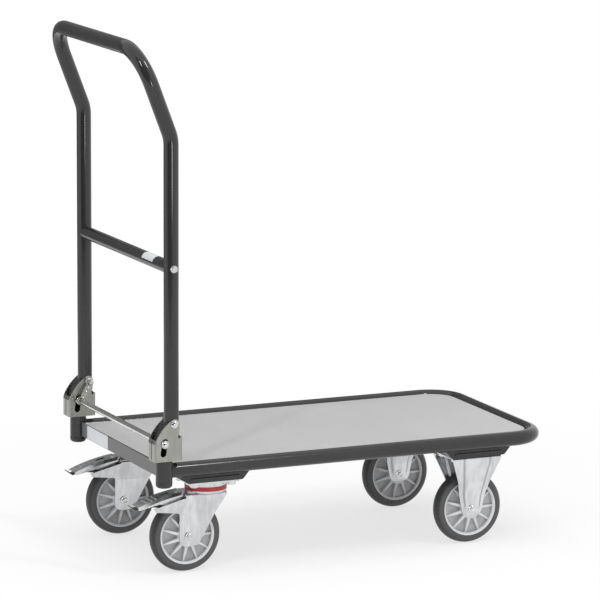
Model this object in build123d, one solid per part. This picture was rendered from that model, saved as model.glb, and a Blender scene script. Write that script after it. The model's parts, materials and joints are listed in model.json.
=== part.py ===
"""Folding platform cart: a tube-framed deck on four casters, with a push handle that
folds flat over the deck when its sprung lock rod is trodden down.

Millimetres, +Z up, +X towards the front, the handle at the -X end, floor at Z = 0.
The origin is on the floor, under the middle of the cart's overall box.
"""
import math
import os

from build123d import *

# Overall layout
FRAME_LENGTH = 707.0  # corner post axis to front frame tube axis
FRAME_WIDTH = 380.0  # side tube axis to side tube axis
FRAME_BEND = 57.0  # axis radius of the front corners
FRAME_ABOVE_CASTERS = 27.0  # frame tube axis above the caster plates
TUBE_D = 25.0
TUBE_WALL = 2.0
SHEET = 2.5  # gauge of the folded and pressed sheet parts
WELD_GAP = 0.05  # seat left between a coped end and the tube it is welded to

# Handle
HANDLE_WIDER = 11.0  # upright axis to upright axis, beyond the frame width
HANDLE_TOP = 900.0  # top of the push bar
HANDLE_KINK_DROP = 159.0  # below the top of the push bar
HANDLE_LEAN = 21.0  # degrees from upright above the kink
HANDLE_KINK_BEND = 60.0
HANDLE_CORNER_BEND = 60.0
HANDLE_END_BELOW_PIVOT = 20.0
CROSS_TUBE_D = 22.0
CROSS_TUBE_DROP = 374.0

# Hinge and lock, in the plane of one bracket
PIVOT_ABOVE_FRAME = 81.5
PIVOT_AHEAD = 13.0  # pivot ahead of the corner post axis
PIVOT_R = 4.0
BUSH_R = 6.0
BRACKET_REAR = 35.5  # behind the pivot
BRACKET_FRONT = 14.1  # ahead of the pivot
BRACKET_BELOW = 61.5
BRACKET_LOBE_R = 9.0
BRACKET_SIDE_GAP = 0.5  # handle tube to bracket cheek
BRACKET_BEND = 4.0
REAR_TAB_TOP = 32.0  # below the pivot
FRONT_WEB_TOP = 22.0
CHEEK_FRONT = 8.0  # cheek edge ahead of the pivot, above the front web
TAB_SEAM = 3.0
ROD_D = 10.0
ROD_REST = (-17.7, -32.2)  # rod axis from the pivot, latched
ROD_TRAVEL = 16.3
ROD_LEAN = 9.0  # degrees that the slot leans back from vertical
SLOT_SPARE = 4.5  # slot above the latched rod
SLOT_PLAY = 0.3
LOCK_PLAY = 0.6  # rod to lock segment
LOCK_NARROWER = 1.0  # lock segment inside the side of the handle tube
FOLD_ANGLE = 90.0
SPRING_WIRE = 1.4
SPRING_R = 4.2
SPRING_TURNS = 5

# Corner posts and deck board
POST_D = 28.0
POST_WALL = 2.0
POST_TOP_WALL = 6.0
POST_FOOT_LENGTH = 10.5
BOARD_T = 10.0
BOARD_BELOW_RIM = 5.5
BOARD_GAP = 0.3
END_WEB_ABOVE_FRAME = 9.0
END_WEB_BEHIND_BOARD = 2.0
END_CHANNEL_DEPTH = 20.0
END_POST_GAP = 0.2  # end channel to each corner post

# Casters
WHEEL_D = 125.0
TYRE_W = 26.0
TYRE_CROWN_W = 12.0
TYRE_DEPTH = 14.0  # tread to rim
HUB_R = 18.0
HUB_W = 35.0
WEB_T = 8.0
RIM_LIP = 4.0
RIB_COUNT = 11
AXLE_R = 5.0
AXLE_HEAD = 1.8
RUNNING_FIT = 0.05
CASTER_ABOVE_WHEEL = 33.0  # plates above the top of the wheels
CASTER_INSET = 45.0  # caster axis inside the side tube axis
FRONT_AXLE_SETBACK = 123.0  # front axle behind the front tube axis
SWIVEL_BEHIND_FRAME = 96.0  # swivel axis ahead of the corner post axis
SWIVEL_TRAIL = 38.5
PLATE_X = 92.0
PLATE_Y = 84.0
BOLT_X = 68.0
REAR_BOLT_Y = 62.0
FRONT_BOLT_Y = 50.0
BOLT_AF = 13.0
BOLT_HEAD = 5.3
NUT_HEIGHT = 6.5
SCREW_AF = 10.0
PAN_HALF_BOTTOM = 50.0
PAN_HALF_TOP = 70.0  # where the pan meets the board
PAN_FLANGE = 14.0
PAN_BEND = 7.0
PAN_BEAD = 2.0
PAN_INSET = 12.0  # raised part of the pan clear of the side tubes
FORK_HALF_GAP = 17.9
FORK_T = 2.8  # gauge of the forks and caster plates
FORK_PANEL = 2.2  # outward press of the fixed fork's panels
HEAD_R = 35.0
HEAD_CUP = 8.0
SEAL_H = 7.4
SEAL_GAP = 0.3
KINGPIN_R = 6.0
PEDAL_FRONT = -9.2  # ahead of the wheel axle line
PEDAL_LENGTH = 80.0
PEDAL_ARCH = 3.0
PEDAL_ROUND = 4.5
PEDAL_LIP = 4.0
PEDAL_HALF_W = 19.0
PEDAL_PIVOT_BACK = 16.0  # behind the wheel axle line
PEDAL_PIVOT_DROP = 13.5  # below the top of the fork crown
PEDAL_PIVOT_R = 4.0

# Values worked out from the sizes above
TUBE_R = TUBE_D / 2
FRAME_Y = FRAME_WIDTH / 2
HANDLE_Y = (FRAME_WIDTH + HANDLE_WIDER) / 2
CASTER_Y = FRAME_Y - CASTER_INSET
POST_R = POST_D / 2
WHEEL_R = WHEEL_D / 2
RIM_R = WHEEL_R - TYRE_DEPTH
CASTER_HEIGHT = WHEEL_D + CASTER_ABOVE_WHEEL
FRAME_Z = CASTER_HEIGHT + FRAME_ABOVE_CASTERS
END_WEB_TOP = FRAME_Z + END_WEB_ABOVE_FRAME
PIVOT_Z = FRAME_Z + PIVOT_ABOVE_FRAME
HANDLE_KINK_Z = HANDLE_TOP - HANDLE_KINK_DROP
CROSS_TUBE_Z = HANDLE_TOP - CROSS_TUBE_DROP
LOCK_HALF_WIDTH = TUBE_R - LOCK_NARROWER
LEAN = math.tan(math.radians(HANDLE_LEAN))
TOP_BAR_Z = HANDLE_TOP - TUBE_R
TOP_BAR_BACK = (TOP_BAR_Z - HANDLE_KINK_Z) * LEAN
CART_REAR = PIVOT_AHEAD - TOP_BAR_BACK - TUBE_R
CART_FRONT = FRAME_LENGTH + TUBE_R
POST_X = -(CART_REAR + CART_FRONT) / 2
PIVOT_X = POST_X + PIVOT_AHEAD
FRONT_X = POST_X + FRAME_LENGTH
SWIVEL_X = POST_X + SWIVEL_BEHIND_FRAME
REAR_AXLE_X = SWIVEL_X - SWIVEL_TRAIL
FRONT_AXLE_X = FRONT_X - FRONT_AXLE_SETBACK
BOARD_TOP = FRAME_Z + TUBE_R - BOARD_BELOW_RIM
BOARD_LOW = BOARD_TOP - BOARD_T
BRACKET_LOW = PIVOT_Z - BRACKET_BELOW
POST_TOP = BRACKET_LOW
CHEEK_IN = TUBE_R + BRACKET_SIDE_GAP
CHEEK_OUT = CHEEK_IN + SHEET
PLATE_LOW = CASTER_HEIGHT - FORK_T
CUP_LOW = PLATE_LOW - HEAD_CUP
SEAL_LOW = CUP_LOW - SEAL_GAP - SEAL_H
CROWN_TOP = SEAL_LOW - 3.0
PEDAL_PIVOT = (-PEDAL_PIVOT_BACK, CROWN_TOP - PEDAL_PIVOT_DROP)
PAN_TOP = FRAME_Z - TUBE_R - 0.1
ROD_DOWN = (-math.sin(math.radians(ROD_LEAN)), -math.cos(math.radians(ROD_LEAN)))

os.makedirs("parts", exist_ok=True)


def save(shape, node):
    export_step(shape, f"parts/{node}.step")


def group(solids):
    return Compound(children=list(solids))


def side_extrude(sketch, y_low, y_high):
    """An X-Z outline given thickness along Y."""
    return extrude(Plane.XZ.offset(-y_high) * sketch, y_high - y_low)


def end_extrude(sketch, x_low, x_high):
    """A Y-Z outline given thickness along X."""
    return extrude(Plane.YZ.offset(x_low) * sketch, x_high - x_low)


def plan_extrude(sketch, z_low, z_high):
    """An X-Y outline given thickness along Z."""
    return extrude(Plane.XY.offset(z_low) * sketch, z_high - z_low)


def outline(points):
    return make_face(Polyline(*points, close=True))


def corners_at(sketch, points):
    """The corners of a sketch that lie on the given points."""
    spots = [Vector(*point) for point in points]
    return [v for v in sketch.vertices() if min((Vector(v) - s).length for s in spots) < 1e-3]


def pin_y(radius, y_low, y_high, x, z):
    """A round bar along Y."""
    return Pos(x, (y_low + y_high) / 2, z) * Rot(90, 0, 0) * Cylinder(radius, y_high - y_low)


def pin_z(radius, z_low, z_high, x, y):
    """A round bar along Z."""
    return Pos(x, y, (z_low + z_high) / 2) * Cylinder(radius, z_high - z_low)


def hex_prism(across_flats, height):
    return extrude(RegularPolygon(across_flats / 2, 6, major_radius=False), height)


def hex_y(across_flats, y_low, y_high, x, z):
    return Pos(x, y_high, z) * Rot(90, 0, 0) * hex_prism(across_flats, y_high - y_low)


def both_sides(right):
    """The right-hand piece and its mirror image on the left."""
    return right, mirror(right, about=Plane.XZ)


def save_pair(right, name):
    right, left = both_sides(right)
    save(right, f"{name}_right")
    save(left, f"{name}_left")


def tube_ring():
    return Circle(TUBE_R) - Circle(TUBE_R - TUBE_WALL)


# Deck frame: one tube bent round three sides, coped to the corner posts
def frame_tube(section):
    start_x = POST_X + POST_R / 2
    path = FilletPolyline(
        (start_x, -FRAME_Y, FRAME_Z),
        (FRONT_X, -FRAME_Y, FRAME_Z),
        (FRONT_X, FRAME_Y, FRAME_Z),
        (start_x, FRAME_Y, FRAME_Z),
        radius=FRAME_BEND,
    )
    return sweep(Plane((start_x, -FRAME_Y, FRAME_Z), x_dir=(0, 1, 0), z_dir=(1, 0, 0)) * section, path)


def post_cutter():
    radius = POST_R + WELD_GAP
    return [pin_z(radius, 0, HANDLE_TOP, POST_X, side * HANDLE_Y) for side in (-1, 1)]


def corner_post():
    low = CASTER_HEIGHT + POST_FOOT_LENGTH
    post = pin_z(POST_R, low, POST_TOP, POST_X, -HANDLE_Y)
    return post - pin_z(POST_R - POST_WALL, low, POST_TOP - POST_TOP_WALL, POST_X, -HANDLE_Y)


def post_foot():
    """Plastic plug under a post, with a rounded nose and a stem up the tube."""
    low = CASTER_HEIGHT
    shoulder = low + POST_FOOT_LENGTH
    stem_r = POST_R - POST_WALL - WELD_GAP
    side = [(POST_R - 6.0, low), (POST_R - 1.8, low + 3.0), (POST_R, low + 8.0), (POST_R, shoulder)]
    stem = [(stem_r, shoulder), (stem_r, shoulder + 12.0), (0, shoulder + 12.0)]
    half = outline([(0, low)] + side + stem)
    return Pos(POST_X, -HANDLE_Y, 0) * revolve(Plane.XZ * half, Axis.Z)


def end_crossmember():
    """Folded channel: a tall rear web, a floor and a short inner leg under the board."""
    rear = board_rear() - BOARD_GAP - END_WEB_BEHIND_BOARD
    low = FRAME_Z - TUBE_R - 2.5
    front = rear + END_CHANNEL_DEPTH
    gauge = END_WEB_BEHIND_BOARD
    section = outline(
        [
            (rear, low),
            (front, low),
            (front, BOARD_LOW),
            (front - gauge, BOARD_LOW),
            (front - gauge, low + gauge),
            (rear + gauge, low + gauge),
            (rear + gauge, END_WEB_TOP),
            (rear, END_WEB_TOP),
        ]
    )
    half = HANDLE_Y - POST_R - END_POST_GAP
    channel = side_extrude(section, -half, half)
    channel -= post_cutter()
    return keep_middle(channel - frame_tube(Circle(TUBE_R + WELD_GAP)))


def keep_middle(shape):
    """The solid that crosses the middle of the cart, without offcuts beyond the side tubes."""
    return max(shape.solids(), key=lambda solid: solid.volume)


def board_rear():
    return POST_X + 3.8


def deck_board():
    half = FRAME_Y - TUBE_R - BOARD_GAP
    front = FRONT_X - TUBE_R - BOARD_GAP
    rear = board_rear()
    middle = (rear + front) / 2
    sheet = Pos(middle, 0) * Rectangle(front - rear, 2 * half)
    round_corners = corners_at(sheet, [(front, half), (front, -half)])
    sheet = fillet(round_corners, FRAME_BEND - TUBE_R - BOARD_GAP)
    board = plan_extrude(sheet, BOARD_LOW, BOARD_TOP)
    return board - frame_tube(Circle(TUBE_R + BOARD_GAP))


def caster_pan(x, flange_sides):
    """Pressed cross-member: a shallow tray under the side tubes that rises to carry the board."""
    top = PAN_HALF_TOP
    tray = [(-PAN_HALF_BOTTOM, CASTER_HEIGHT), (PAN_HALF_BOTTOM, CASTER_HEIGHT)]
    tray += [(top, BOARD_LOW), (-top, BOARD_LOW)]
    thinner = SHEET / 2
    floor_half = PAN_HALF_BOTTOM - thinner
    hollow = [(-floor_half, CASTER_HEIGHT + SHEET), (floor_half, CASTER_HEIGHT + SHEET)]
    hollow += [(top - SHEET, BOARD_LOW), (SHEET - top, BOARD_LOW)]
    end_y = FRAME_Y - SHEET
    pan = side_extrude(fillet(corners_at(outline(tray), tray[0:2]), PAN_BEND), -end_y, end_y)
    bead_z = (CASTER_HEIGHT + PAN_TOP) / 2
    for side in (-1, 1):
        bead = Pos(0, side * end_y, bead_z) * Rot(0, 90, 0) * Cylinder(PAN_BEAD, 2 * PAN_HALF_BOTTOM - 14)
        pan += bead
    for side in flange_sides:
        pan += Pos(side * top, 0, BOARD_LOW - SHEET / 2) * Box(2 * PAN_FLANGE, 2 * end_y, SHEET)
    hollow = fillet(corners_at(outline(hollow), hollow[0:2]), PAN_BEND - thinner)
    pan -= side_extrude(hollow, SHEET - end_y, end_y - SHEET)
    inside = FRAME_Y - TUBE_R - PAN_INSET
    for side in (-1, 1):
        pan -= Pos(0, side * (inside + TUBE_D), PAN_TOP + TUBE_R) * Box(4 * top, 2 * TUBE_D, TUBE_D)
    return Pos(x, 0, 0) * pan


def bolt_spots(x, bolt_y):
    """The four bolt places of both casters on one cross-member."""
    return [
        (x + sx * BOLT_X / 2, sy * CASTER_Y + ty * bolt_y / 2)
        for sx in (-1, 1)
        for sy in (-1, 1)
        for ty in (-1, 1)
    ]


def caster_bolt(x, y):
    return Pos(x, y, PLATE_LOW - BOLT_HEAD) * hex_prism(BOLT_AF, BOLT_HEAD)


def caster_nut(x, y):
    return Pos(x, y, CASTER_HEIGHT + SHEET) * hex_prism(BOLT_AF, NUT_HEIGHT)


def board_screw(x, y):
    return Pos(x, y, BOARD_LOW - SHEET - 2.5) * hex_prism(SCREW_AF, 2.5)


# Hinge bracket: folded sheet with two cheeks, a front web, two rear tabs and a floor
def rod_at(travel):
    return (ROD_REST[0] + ROD_DOWN[0] * travel, ROD_REST[1] + ROD_DOWN[1] * travel)


def bracket_outline():
    front_step = -FRONT_WEB_TOP
    relief = CHEEK_FRONT - 2.0
    tab_top = (-BRACKET_REAR, -REAR_TAB_TOP)
    front_low = (BRACKET_FRONT, -BRACKET_BELOW)
    lobe_left = (-BRACKET_LOBE_R * math.sin(math.radians(45)), BRACKET_LOBE_R * math.cos(math.radians(45)))
    return make_face(
        [
            Polyline(tab_top, (-BRACKET_REAR, -BRACKET_BELOW), front_low),
            Polyline(front_low, (BRACKET_FRONT, front_step), (relief + 3, front_step)),
            Polyline((relief + 3, front_step), (relief + 3, front_step - 2), (relief, front_step - 2)),
            Polyline((relief, front_step - 2), (relief, front_step + 4), (CHEEK_FRONT, front_step + 8)),
            Line((CHEEK_FRONT, front_step + 8), (BRACKET_LOBE_R, 0)),
            ThreePointArc((BRACKET_LOBE_R, 0), (0, BRACKET_LOBE_R), lobe_left),
            ThreePointArc(lobe_left, (-0.65 * BRACKET_REAR, -0.3 * REAR_TAB_TOP), tab_top),
        ]
    )


def at_pivot(shape):
    return Pos(PIVOT_X, -HANDLE_Y, PIVOT_Z) * shape


def hinge_bracket():
    length = BRACKET_REAR + BRACKET_FRONT
    middle = (BRACKET_FRONT - BRACKET_REAR) / 2
    plan = RectangleRounded(length, 2 * CHEEK_OUT, BRACKET_BEND)
    plan -= RectangleRounded(length - 2 * SHEET, 2 * CHEEK_IN, BRACKET_BEND - SHEET)
    walls = Pos(middle, 0, 0) * plan_extrude(plan, -BRACKET_BELOW, BRACKET_LOBE_R + 1)
    walls &= side_extrude(bracket_outline(), -CHEEK_OUT, CHEEK_OUT)
    seam = Pos(-BRACKET_REAR, 0, -BRACKET_BELOW / 2) * Box(4 * SHEET, TAB_SEAM, BRACKET_BELOW)
    floor = RectangleRounded(length, 2 * CHEEK_OUT, BRACKET_BEND)
    body = walls - seam + Pos(middle, 0, 0) * plan_extrude(floor, -BRACKET_BELOW, SHEET - BRACKET_BELOW)
    top, low = rod_at(-SLOT_SPARE), rod_at(ROD_TRAVEL)
    slot = SlotCenterPoint(((top[0] + low[0]) / 2, (top[1] + low[1]) / 2), low, ROD_D + 2 * SLOT_PLAY)
    body -= side_extrude(slot, -CHEEK_OUT - 1, CHEEK_OUT + 1)
    body -= pin_y(PIVOT_R + RUNNING_FIT, -CHEEK_OUT - 1, CHEEK_OUT + 1, 0, 0)
    return at_pivot(body)


def bracket_screw():
    return Pos(POST_X, -HANDLE_Y, BRACKET_LOW + SHEET) * hex_prism(BOLT_AF, 2.4)


def pivot_bolt():
    """Domed bolt whose long inner end carries the spring."""
    head = 4.5
    inner_end = CHEEK_OUT + pivot_nut_height() + spring_room()
    face = -CHEEK_OUT
    dome = [(0, face - head), (3.5, face - head), (6.5, face - 0.6 * head), (7.5, face)]
    shank = [(PIVOT_R, face), (PIVOT_R, inner_end), (0, inner_end)]
    half = outline(dome + shank)
    return at_pivot(revolve(half, Axis.Y))


def pivot_nut_height():
    return 5.5


def spring_room():
    return 2 * (SPRING_R + SPRING_WIRE)


def pivot_nut():
    nut = hex_y(BOLT_AF, CHEEK_OUT, CHEEK_OUT + pivot_nut_height(), 0, 0)
    return at_pivot(nut - pin_y(PIVOT_R, 0, 2 * CHEEK_OUT, 0, 0))


# Lock springs: a helix swept on pairs of tangent arcs, two pairs a turn, with straight ends
def arc_pair(start, start_dir, end, end_dir):
    """Two arcs, tangent to each other and to the given directions at the ends."""
    chord = end - start
    both = start_dir + end_dir
    a = both.dot(both) - 4
    b = -2 * chord.dot(both)
    c = chord.dot(chord)
    reach = (-b - math.sqrt(b * b - 4 * a * c)) / (2 * a)
    joint = (start + start_dir * reach + end - end_dir * reach) * 0.5
    first = TangentArc(start, joint, tangent=start_dir)
    return [first, TangentArc(joint, end, tangent=first % 1)]


def spring_path():
    along = Vector(ROD_REST[0], 0, ROD_REST[1]).normalized()
    across = Vector(0, 1, 0)
    third = along.cross(across)
    span = Vector(ROD_REST[0], 0, ROD_REST[1]).length
    first = PIVOT_R + WELD_GAP
    last = span - ROD_D / 2 - WELD_GAP
    straight = SPRING_WIRE
    lead = SPRING_R
    coil_start = first + straight + lead
    pitch = (last - straight - lead - coil_start) / SPRING_TURNS
    centre = across * (CHEEK_OUT + pivot_nut_height() + spring_room() / 2)

    def on_coil(turn):
        angle = 2 * math.pi * turn
        spoke = across * math.cos(angle) + third * math.sin(angle)
        swing = third * math.cos(angle) - across * math.sin(angle)
        slope = swing * (2 * math.pi * SPRING_R) + along * pitch
        return centre + along * (coil_start + pitch * turn) + spoke * SPRING_R, slope.normalized()

    edge = centre + across * SPRING_R
    stops = [(edge + along * (first + straight), along)]
    stops += [on_coil(step / 2) for step in range(1, 2 * SPRING_TURNS)]
    stops += [(edge + along * (last - straight), along)]
    edges = [Line(edge + along * first, stops[0][0])]
    for (start, start_dir), (end, end_dir) in zip(stops, stops[1:]):
        edges += arc_pair(start, start_dir, end, end_dir)
    edges.append(Line(stops[-1][0], edge + along * last))
    return edges, along


def lock_spring():
    edges, along = spring_path()
    path = Wire(edges)
    begin = edges[0] @ 0
    section = Plane(begin, x_dir=(0, 1, 0), z_dir=along) * RegularPolygon(SPRING_WIRE / 2, 4)
    report_spring_gap(path)
    return at_pivot(sweep(section, path))


def report_spring_gap(path):
    """Print the least gap between parts of the spring wire that aren't neighbours."""
    count = 24 * SPRING_TURNS
    points = [path @ (i / count) for i in range(count + 1)]
    apart = 12
    pairs = ((p, q) for i, p in enumerate(points) for q in points[i + apart :])
    print("spring self gap", round(min((p - q).length for p, q in pairs) - SPRING_WIRE, 2), "mm")


# Handle: one bent tube, a coped cross tube and the two lock segments welded to its ends
def handle_tube():
    low = PIVOT_Z - HANDLE_END_BELOW_PIVOT
    top_x = PIVOT_X - TOP_BAR_BACK
    points = [(PIVOT_X, -HANDLE_Y, low), (PIVOT_X, -HANDLE_Y, HANDLE_KINK_Z), (top_x, -HANDLE_Y, TOP_BAR_Z)]
    points += [(x, -y, z) for x, y, z in reversed(points)]
    bends = [HANDLE_KINK_BEND, HANDLE_CORNER_BEND, HANDLE_CORNER_BEND, HANDLE_KINK_BEND]
    path = FilletPolyline(*points, radius=bends)
    tube = sweep(Plane(points[0]) * tube_ring(), path)
    for side in (-1, 1):
        y_low, y_high = side * HANDLE_Y - TUBE_D, side * HANDLE_Y + TUBE_D
        tube -= pin_y(BUSH_R, y_low, y_high, PIVOT_X, PIVOT_Z)
    return tube


def upright_cutter():
    radius = TUBE_R + WELD_GAP
    return [pin_z(radius, 0, HANDLE_TOP, PIVOT_X, side * HANDLE_Y) for side in (-1, 1)]


def cross_tube():
    bar = pin_y(CROSS_TUBE_D / 2, -HANDLE_Y, HANDLE_Y, PIVOT_X, CROSS_TUBE_Z)
    bar -= pin_y(CROSS_TUBE_D / 2 - TUBE_WALL, -HANDLE_Y, HANDLE_Y, PIVOT_X, CROSS_TUBE_Z)
    return bar - upright_cutter()


def cross_tube_bolt():
    """Bolt head on a saddle washer that fits the round of the upright."""
    face = -HANDLE_Y - TUBE_R - 1.0
    washer = pin_y(8.0, face, face + 5.0, PIVOT_X, CROSS_TUBE_Z)
    head = hex_y(BOLT_AF, face - BOLT_HEAD, face, PIVOT_X, CROSS_TUBE_Z)
    return washer + head - upright_cutter()


def pivot_bush():
    half = CHEEK_IN - 0.2
    bush = pin_y(BUSH_R, -half, half, 0, 0) - pin_y(PIVOT_R + RUNNING_FIT, -half, half, 0, 0)
    return at_pivot(bush)


def rod_seen_from_handle(fold):
    """Place of the rod axis in the handle's own frame when the handle has folded by an angle."""
    x, z = rod_at(ROD_TRAVEL * fold / FOLD_ANGLE)
    turn = math.radians(fold)
    return Vector(x * math.cos(turn) - z * math.sin(turn), x * math.sin(turn) + z * math.cos(turn))


def cam_point(fold):
    """Point of the lock segment's edge that the rod passes with the lock play."""
    step = 0.5
    run = (rod_seen_from_handle(fold + step) - rod_seen_from_handle(fold - step)).normalized()
    inward = Vector(-run.Y, run.X)
    return rod_seen_from_handle(fold) + inward * (ROD_D / 2 + LOCK_PLAY)


def lock_segment():
    """Curved shoe on the handle's end: a hook over the latched rod, then a cam edge that holds it down."""
    notch_r = ROD_D / 2 + LOCK_PLAY
    rod = Vector(*ROD_REST)
    horn_tip = rod + Vector(-notch_r, 0)
    notch_top = rod + Vector(-notch_r * math.sin(math.radians(20)), notch_r * math.cos(math.radians(20)))
    cam = [cam_point(fold) for fold in (0, 18, 36)]
    front = BRACKET_FRONT - SHEET - 1.6
    end = -HANDLE_END_BELOW_PIVOT
    horn_back = horn_tip + Vector(-4.5, 4.0)
    hook = make_face(
        [
            ThreePointArc((-TUBE_R + 1, 4), (-0.57 * BRACKET_REAR, -9), horn_back),
            Line(horn_back, horn_tip),
            ThreePointArc(horn_tip, notch_top, cam[0]),
            ThreePointArc(*cam),
            Polyline(cam[2], (front, cam[2].Y), (front, end + 1), (1 - TUBE_R, end + 1), (1 - TUBE_R, 4)),
        ]
    )
    shoe = side_extrude(hook, -LOCK_HALF_WIDTH, LOCK_HALF_WIDTH)
    shoe -= pin_z(TUBE_R + WELD_GAP, end, HANDLE_TOP, 0, 0)
    return at_pivot(max(shoe.solids(), key=lambda solid: solid.volume))


# Lock rod across the cart, with domed caps outside the brackets
def lock_rod():
    x, z = PIVOT_X + ROD_REST[0], PIVOT_Z + ROD_REST[1]
    shoulder = HANDLE_Y + CHEEK_OUT + 0.5
    rod = pin_y(ROD_D / 2, -shoulder, shoulder, x, z)
    return rod + pin_y(3.0, -shoulder - 4, shoulder + 4, x, z)


def lock_rod_cap():
    x, z = PIVOT_X + ROD_REST[0], PIVOT_Z + ROD_REST[1]
    shoulder = -HANDLE_Y - CHEEK_OUT - 0.5
    end = shoulder - 7.0
    dome = [(6.8, shoulder), (6.8, shoulder - 2.5), (5.2, end + 1.5), (2.5, end), (0, end)]
    half = outline(dome + [(0, shoulder - 4), (3.0, shoulder - 4), (3.0, shoulder)])
    return Pos(x, 0, z) * revolve(half, Axis.Y)


# Casters
def caster_plate():
    """Rear top plate with the pressed cup that holds the swivel bearing."""
    plate = Pos(SWIVEL_X, -CASTER_Y) * RectangleRounded(PLATE_X, PLATE_Y, 8)
    plate = plan_extrude(plate, PLATE_LOW, CASTER_HEIGHT)
    cup = pin_z(HEAD_R, CUP_LOW, PLATE_LOW, SWIVEL_X, -CASTER_Y)
    cup -= pin_z(HEAD_R - 3, CUP_LOW, PLATE_LOW, SWIVEL_X, -CASTER_Y)
    return plate + cup - pin_z(KINGPIN_R, PLATE_LOW, CASTER_HEIGHT, SWIVEL_X, -CASTER_Y)


def kingpin():
    crown_low = CROWN_TOP - FORK_T
    head = pin_z(11.0, crown_low - SEAL_GAP - 4, crown_low - SEAL_GAP, SWIVEL_X, -CASTER_Y)
    return head + pin_z(KINGPIN_R, crown_low - SEAL_GAP, CASTER_HEIGHT, SWIVEL_X, -CASTER_Y)


def fork_sheet(top_half, knee, top):
    """Section of a pressed fork: flat crown, shoulders that lean in to the knee, upright legs."""
    leg = FORK_HALF_GAP + FORK_T
    outer = [(-leg, 0), (-leg, knee), (-top_half, top), (top_half, top), (leg, knee), (leg, 0)]
    shape = fillet(corners_at(outline(outer), outer[1:5]), 6)
    inner = [(-FORK_HALF_GAP, -1), (-FORK_HALF_GAP, knee), (FORK_T - top_half, top - FORK_T)]
    inner += [(-y, z) for y, z in reversed(inner)]
    return shape - fillet(corners_at(outline(inner), inner[1:5]), 6 - FORK_T)


def swivel_fork():
    """Rear fork as it stands in the middle of the cart's width, before it is moved to its side."""
    crown_half = HEAD_R - 5
    sheet = end_extrude(fork_sheet(crown_half, CROWN_TOP - 36.5, CROWN_TOP), -90, 90)
    front_x = SWIVEL_TRAIL + 0.78 * HEAD_R
    foot = WHEEL_R - 15.5
    arm = [(-17.0, CROWN_TOP - 32.5), (-60.0, CROWN_TOP - 27.0)]
    arm += [(-64.0, CROWN_TOP - 21.0), (-8.0, CROWN_TOP - 6.0)]
    side = [(-17.0, foot), (16.5, foot), (front_x, CROWN_TOP - 4)]
    side += [(front_x, CROWN_TOP + 1), (-8.0, CROWN_TOP + 1)]
    profile = outline(side + arm[::-1])
    profile = fillet(corners_at(profile, side[0:2]), 9)
    profile = fillet(corners_at(profile, [arm[0]]), 5)
    fork = sheet & side_extrude(profile, -60, 60)
    fork += pin_z(HEAD_R, CROWN_TOP, SEAL_LOW, SWIVEL_TRAIL, 0)
    fork -= pin_z(KINGPIN_R + RUNNING_FIT, CROWN_TOP - 10, CASTER_HEIGHT, SWIVEL_TRAIL, 0)
    for side_sign in (-1, 1):
        y_in, y_out = side_sign * (PEDAL_HALF_W - 1.4), side_sign * 27.0
        fork += pin_y(PEDAL_PIVOT_R, min(y_in, y_out), max(y_in, y_out), *PEDAL_PIVOT)
    return fork - pin_y(AXLE_R, -60, 60, 0, WHEEL_R)


def dust_seal():
    ring = pin_z(HEAD_R + 0.5, SEAL_LOW, SEAL_LOW + SEAL_H, SWIVEL_TRAIL, 0)
    return ring - pin_z(KINGPIN_R + RUNNING_FIT, SEAL_LOW, SEAL_LOW + SEAL_H, SWIVEL_TRAIL, 0)


def axle(half):
    """Axle pin with a low riveted head on the outside of each fork leg."""
    pin = pin_y(AXLE_R, -half, half, 0, WHEEL_R)
    heads = [(-half - AXLE_HEAD, -half), (half, half + AXLE_HEAD)]
    return pin + [pin_y(AXLE_R + 3.0, low, high, 0, WHEEL_R) for low, high in heads]


def pedal_arch(drop):
    """Arched line of the pedal's top, lowered by a given amount, from front to rear."""
    rear = PEDAL_FRONT - PEDAL_LENGTH
    front_z, rear_z = CROWN_TOP + 3.0, CROWN_TOP - 18.0
    middle = ((PEDAL_FRONT + rear) / 2, (front_z + rear_z) / 2 + PEDAL_ARCH)
    ends = (PEDAL_FRONT, front_z - drop), (rear, rear_z - drop)
    return ThreePointArc(ends[0], (middle[0], middle[1] - drop), ends[1])


def pedal_z(x):
    """Height of the pedal's top at a place along its length."""
    return (pedal_arch(0) @ ((PEDAL_FRONT - x) / PEDAL_LENGTH)).Y


def pedal_cap(inset):
    """Solid under the pedal's arch, bevelled along both sides; the inset one hollows the other."""
    arch = pedal_arch(inset)
    rear_end = arch @ 1
    low = PEDAL_PIVOT[1] - 7.0
    skirt = [rear_end, (rear_end.X, rear_end.Y - PEDAL_LIP), (-52.0, pedal_z(-52.0) - 9.0), (-30.0, low)]
    skirt += [(PEDAL_FRONT, low), arch @ 0]
    half = PEDAL_HALF_W - inset
    cap = side_extrude(make_face([arch, Polyline(*skirt)]), -half, half)
    rounded = cap.edges().filter_by(GeomType.CIRCLE)
    return chamfer(rounded, PEDAL_ROUND - inset)


def brake_pedal():
    """Pressed pedal: an arched tread with skirts, beads across its end and a slot over the catch."""
    shift = Pos(0, 0, -PEDAL_LIP)
    below = shift * pedal_cap(SHEET / 2)
    pedal = pedal_cap(0) - pedal_cap(SHEET / 2) - below
    for x in (-56.0, -64.0, -72.0):
        pedal += pin_y(1.5, -11.0, 11.0, x, pedal_z(x) - 0.2)
    slot = Pos(-36.0, 0) * SlotOverall(20.0, 8.0)
    pedal -= plan_extrude(slot, PEDAL_PIVOT[1] - 7.0, CROWN_TOP + PEDAL_ARCH)
    return pedal - pin_y(PEDAL_PIVOT_R + RUNNING_FIT, -40, 40, *PEDAL_PIVOT)


def brake_shoe():
    front, rear = -28.0, -33.0
    gap = 3.4
    top = min(pedal_z(front), pedal_z(rear)) - SHEET / 2
    low = WHEEL_R + math.sqrt(WHEEL_R**2 - front**2) + gap
    return side_extrude(outline([(front, top), (rear, top), (rear, low), (front, low)]), -12, 12)


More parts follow.
